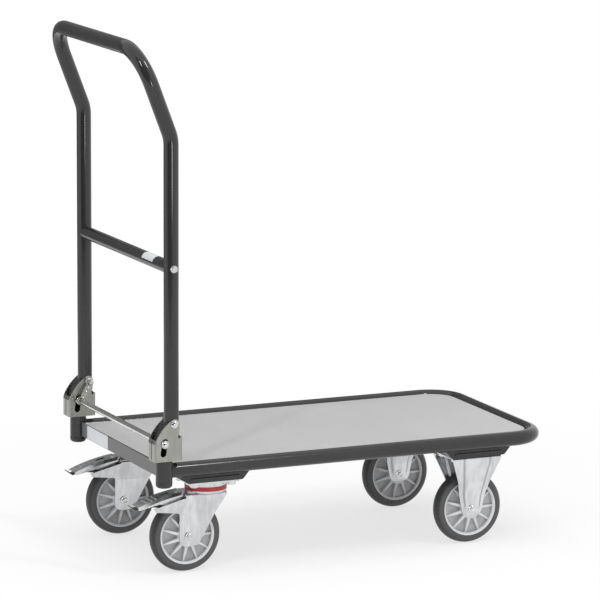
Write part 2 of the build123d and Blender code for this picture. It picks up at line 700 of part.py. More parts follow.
def release_lever():
    """Thin blade under the pedal whose tip shows behind it."""
    rear = PEDAL_FRONT - PEDAL_LENGTH
    gauge = 1.8
    drop = PEDAL_LIP + 0.3
    start, end = rear + 26.0, rear - 1.5
    upper = [(start, pedal_z(start) - drop), (end, pedal_z(rear) - drop)]
    upper.append((rear - 10.0, pedal_z(rear) + 2.0))
    return side_extrude(outline(upper + [(x, z - gauge) for x, z in reversed(upper)]), -8, 8)


def wheel_rim():
    """Moulded centre: a ring, a thin web with radial ribs on both faces, and the bearing hub."""
    lip = RIM_R - RIM_LIP
    half_ring, half_web, half_hub = TYRE_W / 2, WEB_T / 2, HUB_W / 2
    upper = [(RIM_R, half_ring), (lip, half_ring - 2.0), (lip, half_web), (HUB_R, half_web)]
    upper += [(HUB_R, half_hub), (AXLE_R + RUNNING_FIT, half_hub)]
    section = outline(upper + [(r, -y) for r, y in reversed(upper)])
    rim = revolve(section, Axis.Y)
    root, tip = HUB_R - 2, lip + 1
    rib = outline([(root, half_web), (root, half_hub - 1), (tip, half_ring - 3.5), (tip, half_web)])
    taper = outline([(0, -3.2), (RIM_R, -1.2), (RIM_R, 1.2), (0, 3.2)])
    blade = extrude(rib, 5, both=True) & side_extrude(taper, -HUB_W, HUB_W)
    blades = [blade, mirror(blade, about=Plane.XZ)]
    ribs = [Rot(0, 360 / RIB_COUNT * i, 0) * b for i in range(RIB_COUNT) for b in blades]
    return rim + ribs


def tyre():
    half, crown = TYRE_W / 2, TYRE_CROWN_W / 2
    upper = [(RIM_R, half), (RIM_R + 6.0, half), (WHEEL_R, crown)]
    section = outline(upper + [(r, -y) for r, y in reversed(upper)])
    return revolve(section, Axis.Y)


def fork_panel(inset):
    """Outline of the panel pressed out of a fixed fork's leg, or of its flat inside the pressed edge."""
    low, high = WHEEL_R - 11.5 + inset, CASTER_HEIGHT - 9.0 - inset
    wide, narrow = 0.31 * PLATE_X - inset, 0.18 * PLATE_X - inset
    points = [(-narrow, low), (narrow, low), (wide, high), (-wide, high)]
    return fillet(corners_at(outline(points), points[0:2]), 9.0 - inset)


def fixed_fork():
    """Front fork pressed with its plate, with a raised panel down each leg."""
    half_top = PLATE_Y / 2
    sheet = end_extrude(fork_sheet(half_top, WHEEL_R + 22.5, CASTER_HEIGHT), -60, 60)
    foot = WHEEL_R - 15.5
    legs = [(-20.5, foot), (20.5, foot), (45.0, CASTER_HEIGHT - 8), (PLATE_X / 2, CASTER_HEIGHT + 1)]
    legs += [(-x, z) for x, z in reversed(legs[2:])]
    profile = fillet(corners_at(outline(legs), legs[0:2]), 10)
    fork = sheet & side_extrude(profile, -60, 60)
    panel = side_extrude(fork_panel(0), -60, 60)
    core = side_extrude(fork_panel(FORK_T), -60, 60)
    for side_sign in (-1, 1):
        leg = sheet & Pos(0, side_sign * 50, CASTER_HEIGHT / 2) * Box(120, 100, CASTER_HEIGHT - 2 * FORK_T)
        raised = Pos(0, side_sign * FORK_PANEL, 0) * leg
        fork = fork - ((leg - raised) & core) + (raised & panel)
    return fork - pin_y(AXLE_R, -60, 60, 0, WHEEL_R)


def place(shape, x, side):
    return Pos(x, side * CASTER_Y, 0) * shape


def save_deck():
    frame = frame_tube(tube_ring()) - post_cutter()
    save(keep_middle(frame), "deck_frame_tube")
    save(end_crossmember(), "end_crossmember")
    save(caster_pan(SWIVEL_X, (1,)), "crossmember_rear")
    save(caster_pan(FRONT_AXLE_X, (-1, 1)), "crossmember_front")
    save(deck_board(), "deck_board")
    flange_x = PAN_HALF_TOP + PAN_FLANGE / 2
    screw_x = [SWIVEL_X + flange_x, FRONT_AXLE_X - flange_x, FRONT_AXLE_X + flange_x]
    save(group(board_screw(x, y) for x in screw_x for y in (-100, 100)), "board_screws")
    save(group(both_sides(corner_post())), "corner_posts")
    save(group(both_sides(post_foot())), "post_feet")


def save_hinge():
    save_pair(hinge_bracket(), "hinge_bracket")
    save(group(both_sides(bracket_screw())), "bracket_screws")
    save(group(both_sides(pivot_bolt())), "pivot_bolts")
    save(group(both_sides(pivot_nut())), "pivot_nuts")
    save(group(both_sides(lock_spring())), "lock_springs")
    save(lock_rod(), "lock_rod")
    save(group(both_sides(lock_rod_cap())), "lock_rod_caps")


def save_handle():
    save(handle_tube(), "handle_tube")
    save(cross_tube(), "handle_cross_tube")
    save(group(both_sides(cross_tube_bolt())), "cross_tube_bolts")
    save(group(both_sides(pivot_bush())), "pivot_bushes")
    save_pair(lock_segment(), "lock_segment")


def save_casters():
    save(group(both_sides(caster_plate())), "caster_plates")
    save(group(both_sides(kingpin())), "kingpins")
    spots = bolt_spots(SWIVEL_X, REAR_BOLT_Y) + bolt_spots(FRONT_AXLE_X, FRONT_BOLT_Y)
    save(group(caster_bolt(x, y) for x, y in spots), "caster_bolts")
    save(group(caster_nut(x, y) for x, y in spots), "caster_nuts")
    leg = FORK_HALF_GAP + FORK_T
    save(group(place(axle(leg + FORK_PANEL), FRONT_AXLE_X, side) for side in (-1, 1)), "front_axles")
    moulded_rim, moulded_tyre, front, rear = wheel_rim(), tyre(), fixed_fork(), swivel_fork()
    for side, name in ((-1, "right"), (1, "left")):
        save(place(front, FRONT_AXLE_X, side), f"fixed_fork_{name}")
        save(place(rear, REAR_AXLE_X, side), f"swivel_fork_{name}")
        save(place(dust_seal(), REAR_AXLE_X, side), f"dust_seal_{name}")
        save(place(axle(leg), REAR_AXLE_X, side), f"rear_axle_{name}")
        save(place(brake_pedal(), REAR_AXLE_X, side), f"brake_pedal_{name}")
        save(place(brake_shoe(), REAR_AXLE_X, side), f"brake_shoe_{name}")
        save(place(release_lever(), REAR_AXLE_X, side), f"release_lever_{name}")
        for end, x in (("rear", REAR_AXLE_X), ("front", FRONT_AXLE_X)):
            save(Pos(x, side * CASTER_Y, WHEEL_R) * moulded_rim, f"rim_{end}_{name}")
            save(Pos(x, side * CASTER_Y, WHEEL_R) * moulded_tyre, f"tyre_{end}_{name}")


save_deck()
save_hinge()
save_handle()
save_casters()
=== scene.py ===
# %% [markdown]
# # A folding platform cart
# The cart comes from CAD as a set of exact, named nodes: tubes, pressed forks, wheels, brackets and bolts.
# They are the fixed frame of this lesson. Nothing here moves or reshapes them. Blender gives them their
# finishes, puts finer pieces in the place of a few, adds the small ones that a CAD model leaves out, and
# sets up a white studio with a camera to photograph the result.

import json
import math

import bpy
from mathutils import Matrix, Vector


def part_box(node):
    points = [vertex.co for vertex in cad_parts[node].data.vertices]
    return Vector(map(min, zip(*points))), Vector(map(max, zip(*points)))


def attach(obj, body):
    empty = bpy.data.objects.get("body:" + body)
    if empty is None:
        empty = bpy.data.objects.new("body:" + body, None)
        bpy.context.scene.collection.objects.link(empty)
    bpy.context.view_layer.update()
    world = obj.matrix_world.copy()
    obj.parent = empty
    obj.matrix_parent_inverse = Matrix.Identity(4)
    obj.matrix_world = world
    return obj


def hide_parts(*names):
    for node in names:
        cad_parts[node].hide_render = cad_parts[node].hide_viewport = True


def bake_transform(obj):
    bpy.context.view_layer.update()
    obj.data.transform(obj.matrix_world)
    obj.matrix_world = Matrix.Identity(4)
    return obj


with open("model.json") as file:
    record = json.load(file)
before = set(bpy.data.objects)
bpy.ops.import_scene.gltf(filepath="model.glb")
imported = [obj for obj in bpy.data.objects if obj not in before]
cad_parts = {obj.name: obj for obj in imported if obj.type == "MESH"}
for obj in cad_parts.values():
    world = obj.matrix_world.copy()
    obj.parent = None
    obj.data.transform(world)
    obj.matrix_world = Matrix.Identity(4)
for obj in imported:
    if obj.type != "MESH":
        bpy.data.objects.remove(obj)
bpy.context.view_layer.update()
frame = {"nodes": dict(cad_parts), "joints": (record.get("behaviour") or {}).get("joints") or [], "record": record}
nodes = frame["nodes"]

# %% Where the working parts are
joint_at = {joint["name"]: Vector(joint["pos_m"]) for joint in frame["joints"]}
for name in ("handle_fold", "lock_press", "wheel_rear_right_spin"):
    print(name, "turns or slides at", [round(v, 4) for v in joint_at[name]])

# %% [markdown]
# ## Effects that several finishes share
# Paint, zinc plate and moulded plastic differ in colour, yet they share the same small effects: edges are
# brighter, partly rubbed and partly painted glints where an edge catches the light, surfaces are never quite
# even, and handling leaves fine scuffs. Each of those effects is built once, as a node group with named
# sockets, and then placed in every material that needs it with its own values.

# %% A helper for building node groups
EVEN = (1, 1, 1)


def new_group(name, inputs, outputs):
    """A shader node group with its sockets, and its input and output nodes."""
    group = bpy.data.node_groups.new(name, "ShaderNodeTree")
    for socket, kind, value in inputs:
        made = group.interface.new_socket(name=socket, in_out="INPUT", socket_type=kind)
        made.default_value = value
    for socket, kind in outputs:
        group.interface.new_socket(name=socket, in_out="OUTPUT", socket_type=kind)
    return group, group.nodes.new("NodeGroupInput"), group.nodes.new("NodeGroupOutput")


def feed(tree, socket, value):
    """Give a socket a number or a vector, or link it to another socket."""
    if isinstance(value, bpy.types.NodeSocket):
        tree.links.new(value, socket)
    else:
        socket.default_value = value


def math_node(tree, operation, *values):
    """One step of arithmetic; each value is a socket or a number."""
    node = tree.nodes.new("ShaderNodeMath")
    node.operation = operation
    for socket, value in zip(node.inputs, values):
        feed(tree, socket, value)
    return node.outputs[0]


def ramp_mask(tree, value, low, high):
    """A mask that goes from 0 to 1 as a value goes from low to high."""
    node = tree.nodes.new("ShaderNodeMapRange")
    node.interpolation_type = "SMOOTHSTEP"
    feed(tree, node.inputs["Value"], value)
    node.inputs["From Min"].default_value = low
    node.inputs["From Max"].default_value = high
    return node.outputs["Result"]


def object_place(tree):
    """Object coordinates, which stay with a piece when it moves."""
    return tree.nodes.new("ShaderNodeTexCoord").outputs["Object"]


def stretched(tree, stretch):
    """Object coordinates, stretched by a vector."""
    mapping = tree.nodes.new("ShaderNodeMapping")
    feed(tree, mapping.inputs["Scale"], stretch)
    tree.links.new(object_place(tree), mapping.inputs["Vector"])
    return mapping.outputs["Vector"]


def noise_node(tree, scale, detail, vector):
    """A noise with a number of spots in a metre."""
    node = tree.nodes.new("ShaderNodeTexNoise")
    node.inputs["Detail"].default_value = detail
    feed(tree, node.inputs["Scale"], scale)
    tree.links.new(vector, node.inputs["Vector"])
    return node.outputs["Fac"]


def mix_colour(tree, mask, under, over):
    """One colour laid over another where a mask says so."""
    node = tree.nodes.new("ShaderNodeMix")
    node.data_type = "RGBA"
    feed(tree, node.inputs["Factor"], mask)
    feed(tree, node.inputs["A"], under)
    feed(tree, node.inputs["B"], over)
    return node.outputs["Result"]


# %% Edge rub and glint: a mask along the outer edges
RUB_AND_GLINT_SPOTS, RUB_AND_GLINT_GAIN = 260.0, 6.0


# The lighter edges made with this mask are partly rubbed wear and partly painted glints where an edge catches the
# light.
def build_edge_rub():
    """The rounded normal of a Bevel node leaves the true normal only near an edge, which makes a mask."""
    group, given, result = new_group(
        "edge_rub_and_glint",
        [("Radius", "NodeSocketFloat", 0.0008), ("Breakup", "NodeSocketFloat", 0.5)],
        [("Mask", "NodeSocketFloat")],
    )
    bevel = group.nodes.new("ShaderNodeBevel")
    bevel.samples = 4
    group.links.new(given.outputs["Radius"], bevel.inputs["Radius"])
    true_normal = group.nodes.new("ShaderNodeNewGeometry").outputs["Normal"]
    likeness = group.nodes.new("ShaderNodeVectorMath")
    likeness.operation = "DOT_PRODUCT"
    group.links.new(bevel.outputs["Normal"], likeness.inputs[0])
    group.links.new(true_normal, likeness.inputs[1])
    away = math_node(group, "SUBTRACT", 1.0, likeness.outputs["Value"])
    spots = noise_node(group, scale=RUB_AND_GLINT_SPOTS, detail=3.0, vector=stretched(group, EVEN))
    patchy = math_node(group, "MULTIPLY", spots, given.outputs["Breakup"])
    kept = math_node(group, "SUBTRACT", math_node(group, "MULTIPLY", away, RUB_AND_GLINT_GAIN), patchy)
    group.links.new(ramp_mask(group, kept, low=0.0, high=1.0), result.inputs["Mask"])
    return group


EDGE_RUB_AND_GLINT = build_edge_rub()
print("group", EDGE_RUB_AND_GLINT.name)


# %% Surface tone: slow changes of colour and gloss
def build_surface_tone():
    """Broad clouds for handling marks, and a finer mottle that can be stretched into rolling marks."""
    group, given, result = new_group(
        "surface_tone",
        [
            ("Cloud Scale", "NodeSocketFloat", 9.0),
            ("Mottle Scale", "NodeSocketFloat", 120.0),
            ("Stretch", "NodeSocketVector", EVEN),
        ],
        [("Cloud", "NodeSocketFloat"), ("Mottle", "NodeSocketFloat")],
    )
    vector = stretched(group, given.outputs["Stretch"])
    cloud = noise_node(group, given.outputs["Cloud Scale"], detail=2.0, vector=vector)
    mottle = noise_node(group, given.outputs["Mottle Scale"], detail=4.0, vector=vector)
    group.links.new(cloud, result.inputs["Cloud"])
    group.links.new(mottle, result.inputs["Mottle"])
    return group


SURFACE_TONE = build_surface_tone()
print("group", SURFACE_TONE.name)

# %% Scuffs: thin broken lines
LINE_PEAKS, PATCH_PEAKS = (0.62, 0.72), (0.45, 0.65)


def build_scuffs():
    """A noise drawn out along one direction; only its peaks are kept, and only in patches."""
    group, given, result = new_group(
        "scuffs",
        [("Stretch", "NodeSocketVector", (6, 420, 6)), ("Amount", "NodeSocketFloat", 0.5)],
        [("Mask", "NodeSocketFloat")],
    )
    lines = noise_node(group, scale=1.0, detail=2.0, vector=stretched(group, given.outputs["Stretch"]))
    patches = noise_node(group, scale=5.0, detail=1.0, vector=stretched(group, EVEN))
    in_lines = ramp_mask(group, lines, *LINE_PEAKS)
    in_patches = ramp_mask(group, patches, *PATCH_PEAKS)
    mask = math_node(group, "MULTIPLY", in_lines, in_patches)
    group.links.new(math_node(group, "MULTIPLY", mask, given.outputs["Amount"]), result.inputs["Mask"])
    return group


SCUFFS = build_scuffs()
print("group", SCUFFS.name)

# %% [markdown]
# ## One recipe for the finishes
# Every finish on the cart is a colour that drifts a little, a gloss that drifts with it, a fine bump and, on
# exposed edges, a lighter tone that is partly rubbed and partly a painted glint. A recipe with those values
# keeps the materials short and easy to compare.

# %% A helper for finishes
TONE_RANGE = (0.35, 0.65)
GRAIN_DEPTH = 0.0003


def placed(tree, group, **values):
    """A node group placed in a material, with its own values."""
    node = tree.nodes.new("ShaderNodeGroup")
    node.node_tree = group
    for socket, value in values.items():
        node.inputs[socket.replace("_", " ")].default_value = value
    return node.outputs


def finish(name, colour, rough, metal=0.0, drift=0.1, rub_and_glint=None, rub_and_glint_amount=0.5, rub_and_glint_width=0.0008,
           grain=None, mottle=120.0, cloud=9.0, stretch=EVEN, scuff=None, gloss_drift=0.16):
    """A material: a colour that drifts, lighter edges (partly rubbed, partly painted glints), scuffs (amount
    and colour), and a bump grain (spots in a metre and strength)."""
    material = bpy.data.materials.new(name)
    material.use_nodes = True
    tree = material.node_tree
    shader = tree.nodes["Principled BSDF"]
    shader.inputs["Metallic"].default_value = metal
    tone = placed(tree, SURFACE_TONE, Cloud_Scale=cloud, Mottle_Scale=mottle, Stretch=stretch)
    both = math_node(tree, "MULTIPLY", math_node(tree, "ADD", tone["Cloud"], tone["Mottle"]), 0.5)
    deep = [c * (1 - drift) for c in colour] + [1]
    light = [min(1, c * (1 + drift)) for c in colour] + [1]
    shade = mix_colour(tree, ramp_mask(tree, both, *TONE_RANGE), deep, light)
    if scuff:
        amount, scuffed = scuff
        shade = mix_colour(tree, placed(tree, SCUFFS, Amount=amount)["Mask"], shade, (*scuffed, 1))
    # Lighter edges: partly rubbed wear, partly painted glints.
    if rub_and_glint:
        edge = placed(tree, EDGE_RUB_AND_GLINT, Radius=rub_and_glint_width)["Mask"]
        shade = mix_colour(tree, math_node(tree, "MULTIPLY", edge, rub_and_glint_amount), shade, (*rub_and_glint, 1))
    tree.links.new(shade, shader.inputs["Base Color"])
    gloss = math_node(tree, "MULTIPLY_ADD", tone["Cloud"], gloss_drift, rough - gloss_drift / 2)
    tree.links.new(gloss, shader.inputs["Roughness"])
    if grain:
        spots, strength = grain
        relief = tree.nodes.new("ShaderNodeBump")
        relief.inputs["Strength"].default_value = strength
        relief.inputs["Distance"].default_value = GRAIN_DEPTH
        height = noise_node(tree, scale=spots, detail=2.0, vector=stretched(tree, stretch))
        tree.links.new(height, relief.inputs["Height"])
        tree.links.new(relief.outputs["Normal"], shader.inputs["Normal"])
    return material


# %% [markdown]
# ## The finishes
# The tubes and cross-members have a dark, slightly glossy powder coat. The casters are pressed from bright
# zinc-plated sheet with cloudy reflections, while the folded hinge brackets have a duller, warmer plating.
# The wheels have grey moulded centres and dark grey tyres, and a red dust seal sits under each swivel.

# %% The finishes of the cart
ZINC_MARKS = (1.5, 1.5, 0.35)
BAR_MARKS = (6, 0.3, 6)
# The edge colours make edges lighter: partly rubbed wear, partly painted glints.
RECIPES = {
    "dark_powder_coat": dict(
        colour=(0.025, 0.0252, 0.026), rough=0.13, rub_and_glint=(0.12, 0.12, 0.12), rub_and_glint_amount=0.3,
        grain=(700, 0.02), gloss_drift=0.05),
    "grey_paint": dict(
        colour=(0.16, 0.161, 0.165), rough=0.45, drift=0.06, rub_and_glint=(0.3, 0.3, 0.3), grain=(1800, 0.2)),
    "grey_board": dict(
        colour=(0.51, 0.51, 0.51), rough=0.5, drift=0.02, scuff=(0.12, (0.6, 0.6, 0.6)),
        grain=(2500, 0.12)),
    "black_plastic": dict(
        colour=(0.028, 0.028, 0.03), rough=0.4, rub_and_glint=(0.09, 0.09, 0.09), grain=(1500, 0.25)),
    "zinc_sheet": dict(
        colour=(0.66, 0.667, 0.678), rough=0.2, metal=0.9, drift=0.13, rub_and_glint=(0.95, 0.95, 0.95),
        rub_and_glint_amount=0.8, cloud=20.0, mottle=90.0, stretch=ZINC_MARKS, grain=(45, 0.24), gloss_drift=0.24),
    "bracket_zinc": dict(
        colour=(0.37, 0.37, 0.338), rough=0.32, metal=1.0, rub_and_glint=(0.8, 0.79, 0.72), rub_and_glint_amount=0.8,
        cloud=16.0, stretch=ZINC_MARKS, grain=(140, 0.2)),
    "zinc_fastener": dict(
        colour=(0.68, 0.68, 0.68), rough=0.2, metal=1.0, rub_and_glint=(0.92, 0.92, 0.92), grain=(400, 0.1)),
    "bright_bar": dict(
        colour=(0.72, 0.72, 0.71), rough=0.16, metal=1.0, stretch=BAR_MARKS, grain=(600, 0.1)),
    "spring_wire": dict(colour=(0.6, 0.59, 0.56), rough=0.25, metal=1.0, grain=(500, 0.1)),
    "nylon": dict(colour=(0.6, 0.58, 0.52), rough=0.5, grain=(1500, 0.1)),
    "red_plastic": dict(
        colour=(0.4, 0.022, 0.025), rough=0.34, rub_and_glint=(0.65, 0.2, 0.2), grain=(1500, 0.15)),
    "brake_rubber": dict(colour=(0.03, 0.03, 0.03), rough=0.7, grain=(1500, 0.4)),
    "rim_plastic": dict(
        colour=(0.53, 0.533, 0.542), rough=0.36, drift=0.14, rub_and_glint=(0.7, 0.7, 0.71), rub_and_glint_amount=0.6,
        mottle=420.0, grain=(900, 0.3)),
    "tyre_rubber": dict(colour=(0.034, 0.0345, 0.036), rough=0.42, drift=0.12, grain=(1600, 0.25)),
}
FINISHES = {name: finish(name, **recipe) for name, recipe in RECIPES.items()}
LABEL_FILM = finish("label_film", (0.76, 0.78, 0.8), 0.3, drift=0.02, rub_and_glint=(0.5, 0.5, 0.5), rub_and_glint_width=0.0004)
print("mixed", len(FINISHES) + 1, "finishes")

# %% Painted light on the raised ribs of the wheels and on the tyre side walls
PAINTED_LIGHT_RIB_SIDES, PAINTED_LIGHT_RIB_COLOUR = (0.0085, 0.0135), (0.74, 0.745, 0.755)
PAINTED_LIGHT_WALL_SIDES, PAINTED_LIGHT_WALL_COLOUR = (0.0095, 0.0122), (0.075, 0.076, 0.079)


def lay_over(tree, mask, colour):
    """Lay a colour over the base colour of a finish where a mask says so."""
    base = tree.nodes["Principled BSDF"].inputs["Base Color"]
    tree.links.new(mix_colour(tree, mask, base.links[0].from_socket, (*colour, 1)), base)


def lighten_sides(material, sides, colour):
    """Paint light into the colour of a wheel part where it stands away from the middle of the wheel, on both
    sides.
    """
    tree = material.node_tree
    place = tree.nodes.new("ShaderNodeSeparateXYZ")
    tree.links.new(object_place(tree), place.inputs["Vector"])
    wheel_y = joint_at["wheel_rear_left_spin"].y
    across = math_node(tree, "SUBTRACT", math_node(tree, "ABSOLUTE", place.outputs["Y"]), wheel_y)
    lay_over(tree, ramp_mask(tree, math_node(tree, "ABSOLUTE", across), *sides), colour)


# Painted light: the raised ribs and the tyre side walls are made paler, as if they caught more light than the
# rest.
lighten_sides(FINISHES["rim_plastic"], PAINTED_LIGHT_RIB_SIDES, PAINTED_LIGHT_RIB_COLOUR)
lighten_sides(FINISHES["tyre_rubber"], PAINTED_LIGHT_WALL_SIDES, PAINTED_LIGHT_WALL_COLOUR)

# %% Finishes on the nodes
slot_of = {part["node"]: part["material_slot"] for part in frame["record"]["subparts"]}
for name, node in nodes.items():
    node.data.materials.clear()
    node.data.materials.append(FINISHES[slot_of[name]])
print("finished", len(slot_of), "nodes with", len(FINISHES), "materials")

# %% [markdown]
# ## Working habits
# Two habits keep the modelling below safe. Everything is deselected before an operator runs, because an
# operator acts on all that is selected and the import leaves the whole cart selected. And every finished
# piece has its place in its mesh, with its object at the origin, so that a pattern in a material stays where
# it is.

# %% Small helpers for modelling
MM = 0.001
MERGE_GAP = 0.005


def clear_selection():
    bpy.ops.object.select_all(action="DESELECT")


def make_active(piece):
    clear_selection()
    piece.select_set(True)
    bpy.context.view_layer.objects.active = piece


def apply_modifier(kind, **settings):
    """Add a modifier to the active piece, set it up and apply it."""
    modifier = bpy.context.object.modifiers.new(kind.lower(), kind)
    for name, value in settings.items():
        setattr(modifier, name, value)
    bpy.ops.object.modifier_apply(modifier=modifier.name)


def round_edges(width, sharper_than):
    """Bevel the edges of the active piece that are sharper than an angle in degrees."""
    apply_modifier("BEVEL", width=width * MM, segments=2, limit_method="ANGLE",
                   angle_limit=math.radians(sharper_than))


def place_in_mesh():
    """Move the place, turn and scale of the active piece into its mesh."""
    bpy.ops.object.transform_apply(location=True, rotation=True, scale=True)


def mend_mesh():
    """Merge what meets in the active piece, point all faces outwards and end in object mode."""
    bpy.ops.object.mode_set(mode="EDIT")
    bpy.ops.mesh.select_all(action="SELECT")
    bpy.ops.mesh.remove_doubles(threshold=MERGE_GAP * MM)
    bpy.ops.mesh.normals_make_consistent(inside=False)
    bpy.ops.object.mode_set(mode="OBJECT")


def settle(name, material, shade_angle=40):
    """Name the active piece, move its place into its mesh, shade it and give it its finish."""
    piece = bpy.context.object
    piece.name = name
    piece.data.name = name
    place_in_mesh()
    bpy.ops.object.shade_smooth_by_angle(angle=math.radians(shade_angle))
    piece.data.materials.clear()
    piece.data.materials.append(material)
    print("made", name, "with", len(piece.data.polygons), "faces")
    return piece


def hang(piece, body, slot, *replaced):
    """Let a settled piece ride on a body, in place of the CAD nodes it stands for."""
    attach(piece, body)
    if replaced:
        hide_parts(*replaced)


def complete(name, slot, body, *replaced, shade_angle=40):
    """Settle the active piece with the finish of its slot, and hang it on its body."""
    hang(settle(name, FINISHES[slot], shade_angle), body, slot, *replaced)


# %% [markdown]
# ## Drawing a profile and turning it
# Many small parts of a cart are turned: tyres, caps, bolts and rivets. Each one could be a stack of
# cylinders, but a profile that is drawn once and spun round its axis gives true rounded edges. The profile
# starts as a plane merged to a single vertex, which is then extruded from point to point.


# %% Profile and lathe
def draw_line(points):
    """Draw a run of edges, and leave it selected in edit mode."""
    clear_selection()
    bpy.ops.mesh.primitive_plane_add(size=MM, location=(0, 0, 0))
    bpy.ops.object.mode_set(mode="EDIT")
    bpy.ops.mesh.merge(type="CENTER")
    bpy.ops.transform.translate(value=points[0])
    for before, after in zip(points, points[1:]):
        bpy.ops.mesh.extrude_region_move(TRANSFORM_OT_translate={"value": Vector(after) - Vector(before)})
    bpy.ops.mesh.select_all(action="SELECT")


def turn(profile, centre, steps, axis=(0, 1, 0)):
    """Spin a profile of (radius, place along the axis), in millimetres, round an axis through a centre."""
    axis = Vector(axis)
    draw_line([centre + (Vector((1, 0, 0)) * radius + axis * along) * MM for radius, along in profile])
    bpy.ops.mesh.spin(steps=steps, angle=2 * math.pi, center=centre, axis=axis)
    mend_mesh()


def arc(middle, radius, start, end, steps):
    """Points of a profile on an arc, between two angles in degrees."""
    angles = [math.radians(start + (end - start) * i / steps) for i in range(steps + 1)]
    return [(middle[0] + radius * math.cos(a), middle[1] + radius * math.sin(a)) for a in angles]


def copy_moved(source, move):
    """A copy of a piece, with its own mesh, moved by an offset."""
    make_active(source)
    bpy.ops.object.duplicate()
    bpy.ops.transform.translate(value=move)
    return bpy.context.object


def add_twin():
    """Add the left-hand twin of the active piece, across the middle of the cart."""
    apply_modifier("MIRROR", use_axis=(False, True, False), use_mirror_merge=False)
    mend_mesh()


# %% [markdown]
# ## Tyres
# The tyres are soft rubber moulded on the wheel centres, with short upright side walls and a full round
# tread. The CAD tyre has straight bevels there, so it is replaced by a turned one of the same size.

# %% Tyres
TREAD_R, SHOULDER_R, HALF_WIDTH = 62.5, 51.5, 13.0
TREAD_RISE = TREAD_R - SHOULDER_R
TREAD_ANGLES = [math.radians(7.5 * i) for i in range(11, 0, -1)]
SIDE = [(48.5, 12.5), (48.9, 12.9), (49.6, HALF_WIDTH), (51.2, HALF_WIDTH)]
TREAD = [(SHOULDER_R + TREAD_RISE * math.cos(a), HALF_WIDTH * math.sin(a)) for a in TREAD_ANGLES]
HALF_TYRE = SIDE + TREAD
TYRE_PROFILE = HALF_TYRE + [(TREAD_R, 0.0)] + [(r, -y) for r, y in reversed(HALF_TYRE)] + [HALF_TYRE[0]]
WHEELS = ["rear_right", "rear_left", "front_right", "front_left"]
first_wheel = joint_at["wheel_rear_right_spin"]
turn(TYRE_PROFILE, first_wheel, steps=96)
tyre = bpy.context.object
tyres = [tyre] + [copy_moved(tyre, joint_at[f"wheel_{wheel}_spin"] - first_wheel) for wheel in WHEELS[1:]]
for piece, wheel in zip(tyres, WHEELS):
    make_active(piece)
    complete(f"moulded_tyre_{wheel}", "tyre_rubber", f"wheel_{wheel}", f"tyre_{wheel}")

# %% [markdown]
# ## Riveted axle ends
# The axles aren't bolted: each end is rolled over into a low ring with a dimple. One ring is turned on a
# right-hand outer face. A half turn about the upright axis through the wheel gives the ring on the other
# face.

# %% Riveted ends
RIVET = [(0.0, -0.35), (2.0, -0.35), (2.6, -0.9), (3.4, -1.25),
         (4.4, -1.2), (5.3, -0.75), (5.8, 0.2), (0.0, 0.2)]
AXLES = {
    "rear_right": ("swivel_right", "rear_axle_right"),
    "rear_left": ("swivel_left", "rear_axle_left"),
    "front_right": ("deck", "front_axles"),
    "front_left": ("deck", "front_axles"),
}


def rivet_pair(wheel, body, axle):
    """The two rolled ends of one axle, as one piece."""
    centre = joint_at[f"wheel_{wheel}_spin"]
    low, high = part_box(axle)
    inset = high[1] - abs(centre.y) if wheel.endswith("left") else -low[1] - abs(centre.y)
    turn(RIVET, centre - Vector((0, inset, 0)), steps=32)
    bpy.ops.object.mode_set(mode="EDIT")
    bpy.ops.mesh.select_all(action="SELECT")
    bpy.ops.mesh.duplicate()
    bpy.ops.transform.rotate(value=math.pi, orient_axis="Z", center_override=centre)
    mend_mesh()
    complete(f"axle_rivets_{wheel}", "zinc_fastener", body)


for wheel, (body, axle) in AXLES.items():
    rivet_pair(wheel, body, axle)

# %% [markdown]
# ## Domed bolts, rod caps and post feet
# The hinge bolts have polished mushroom heads, the lock rod carries round push-on caps, and the corner posts
# end in plastic plugs with a rounded nose. All of them are turned on the right-hand side and mirrored to the
# left.

# %% Hinge bolts
pivot = joint_at["handle_fold"]
bolt_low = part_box("pivot_bolts")[0]
BOLT_LENGTH = 52.2
DOME = [(0.0, 0.0), (1.6, 0.12), (3.2, 0.55), (4.7, 1.3), (6.0, 2.35), (6.9, 3.4), (7.4, 4.2), (7.4, 4.5)]
SHANK = [(4.0, 4.5), (4.0, BOLT_LENGTH - 0.8), (3.2, BOLT_LENGTH), (0.0, BOLT_LENGTH)]
turn(DOME + SHANK, Vector((pivot.x, bolt_low[1], pivot.z)), steps=40)
add_twin()
complete("domed_hinge_bolts", "zinc_fastener", "deck", "pivot_bolts")

# %% Rod caps
rod = joint_at["lock_press"]
cap_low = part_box("lock_rod_caps")[0]
CAP_DOME = arc((0, 6.0), radius=6.0, start=-90, end=-12, steps=8)
CAP_RIM = [(5.9, 4.9), (6.7, 5.1), (6.8, 5.4), (6.8, 6.7), (6.5, 7.0), (0.0, 7.0)]
turn(CAP_DOME + CAP_RIM, Vector((rod.x, cap_low[1], rod.z)), steps=40)
add_twin()
complete("rod_end_caps", "zinc_fastener", "lock_bar", "lock_rod_caps")

# %% Post feet
POST_R = 14.0
foot_low, foot_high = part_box("post_feet")
foot_centre = Vector(((foot_low[0] + foot_high[0]) / 2, foot_low[1] + POST_R * MM, foot_low[2]))
NOSE = [(0.0, 0.5), (5.5, 0.5), (6.3, 0.0)] + arc((8.0, 6.0), radius=6.0, start=-90, end=0, steps=8)
PLUG = [(POST_R, 9.6), (13.6, 10.1), (13.6, 10.5), (11.9, 10.5), (11.9, 22.0), (0.0, 22.0)]
turn(NOSE + PLUG, foot_centre, steps=48, axis=(0, 0, 1))
add_twin()
complete("rounded_post_feet", "black_plastic", "deck", "post_feet")

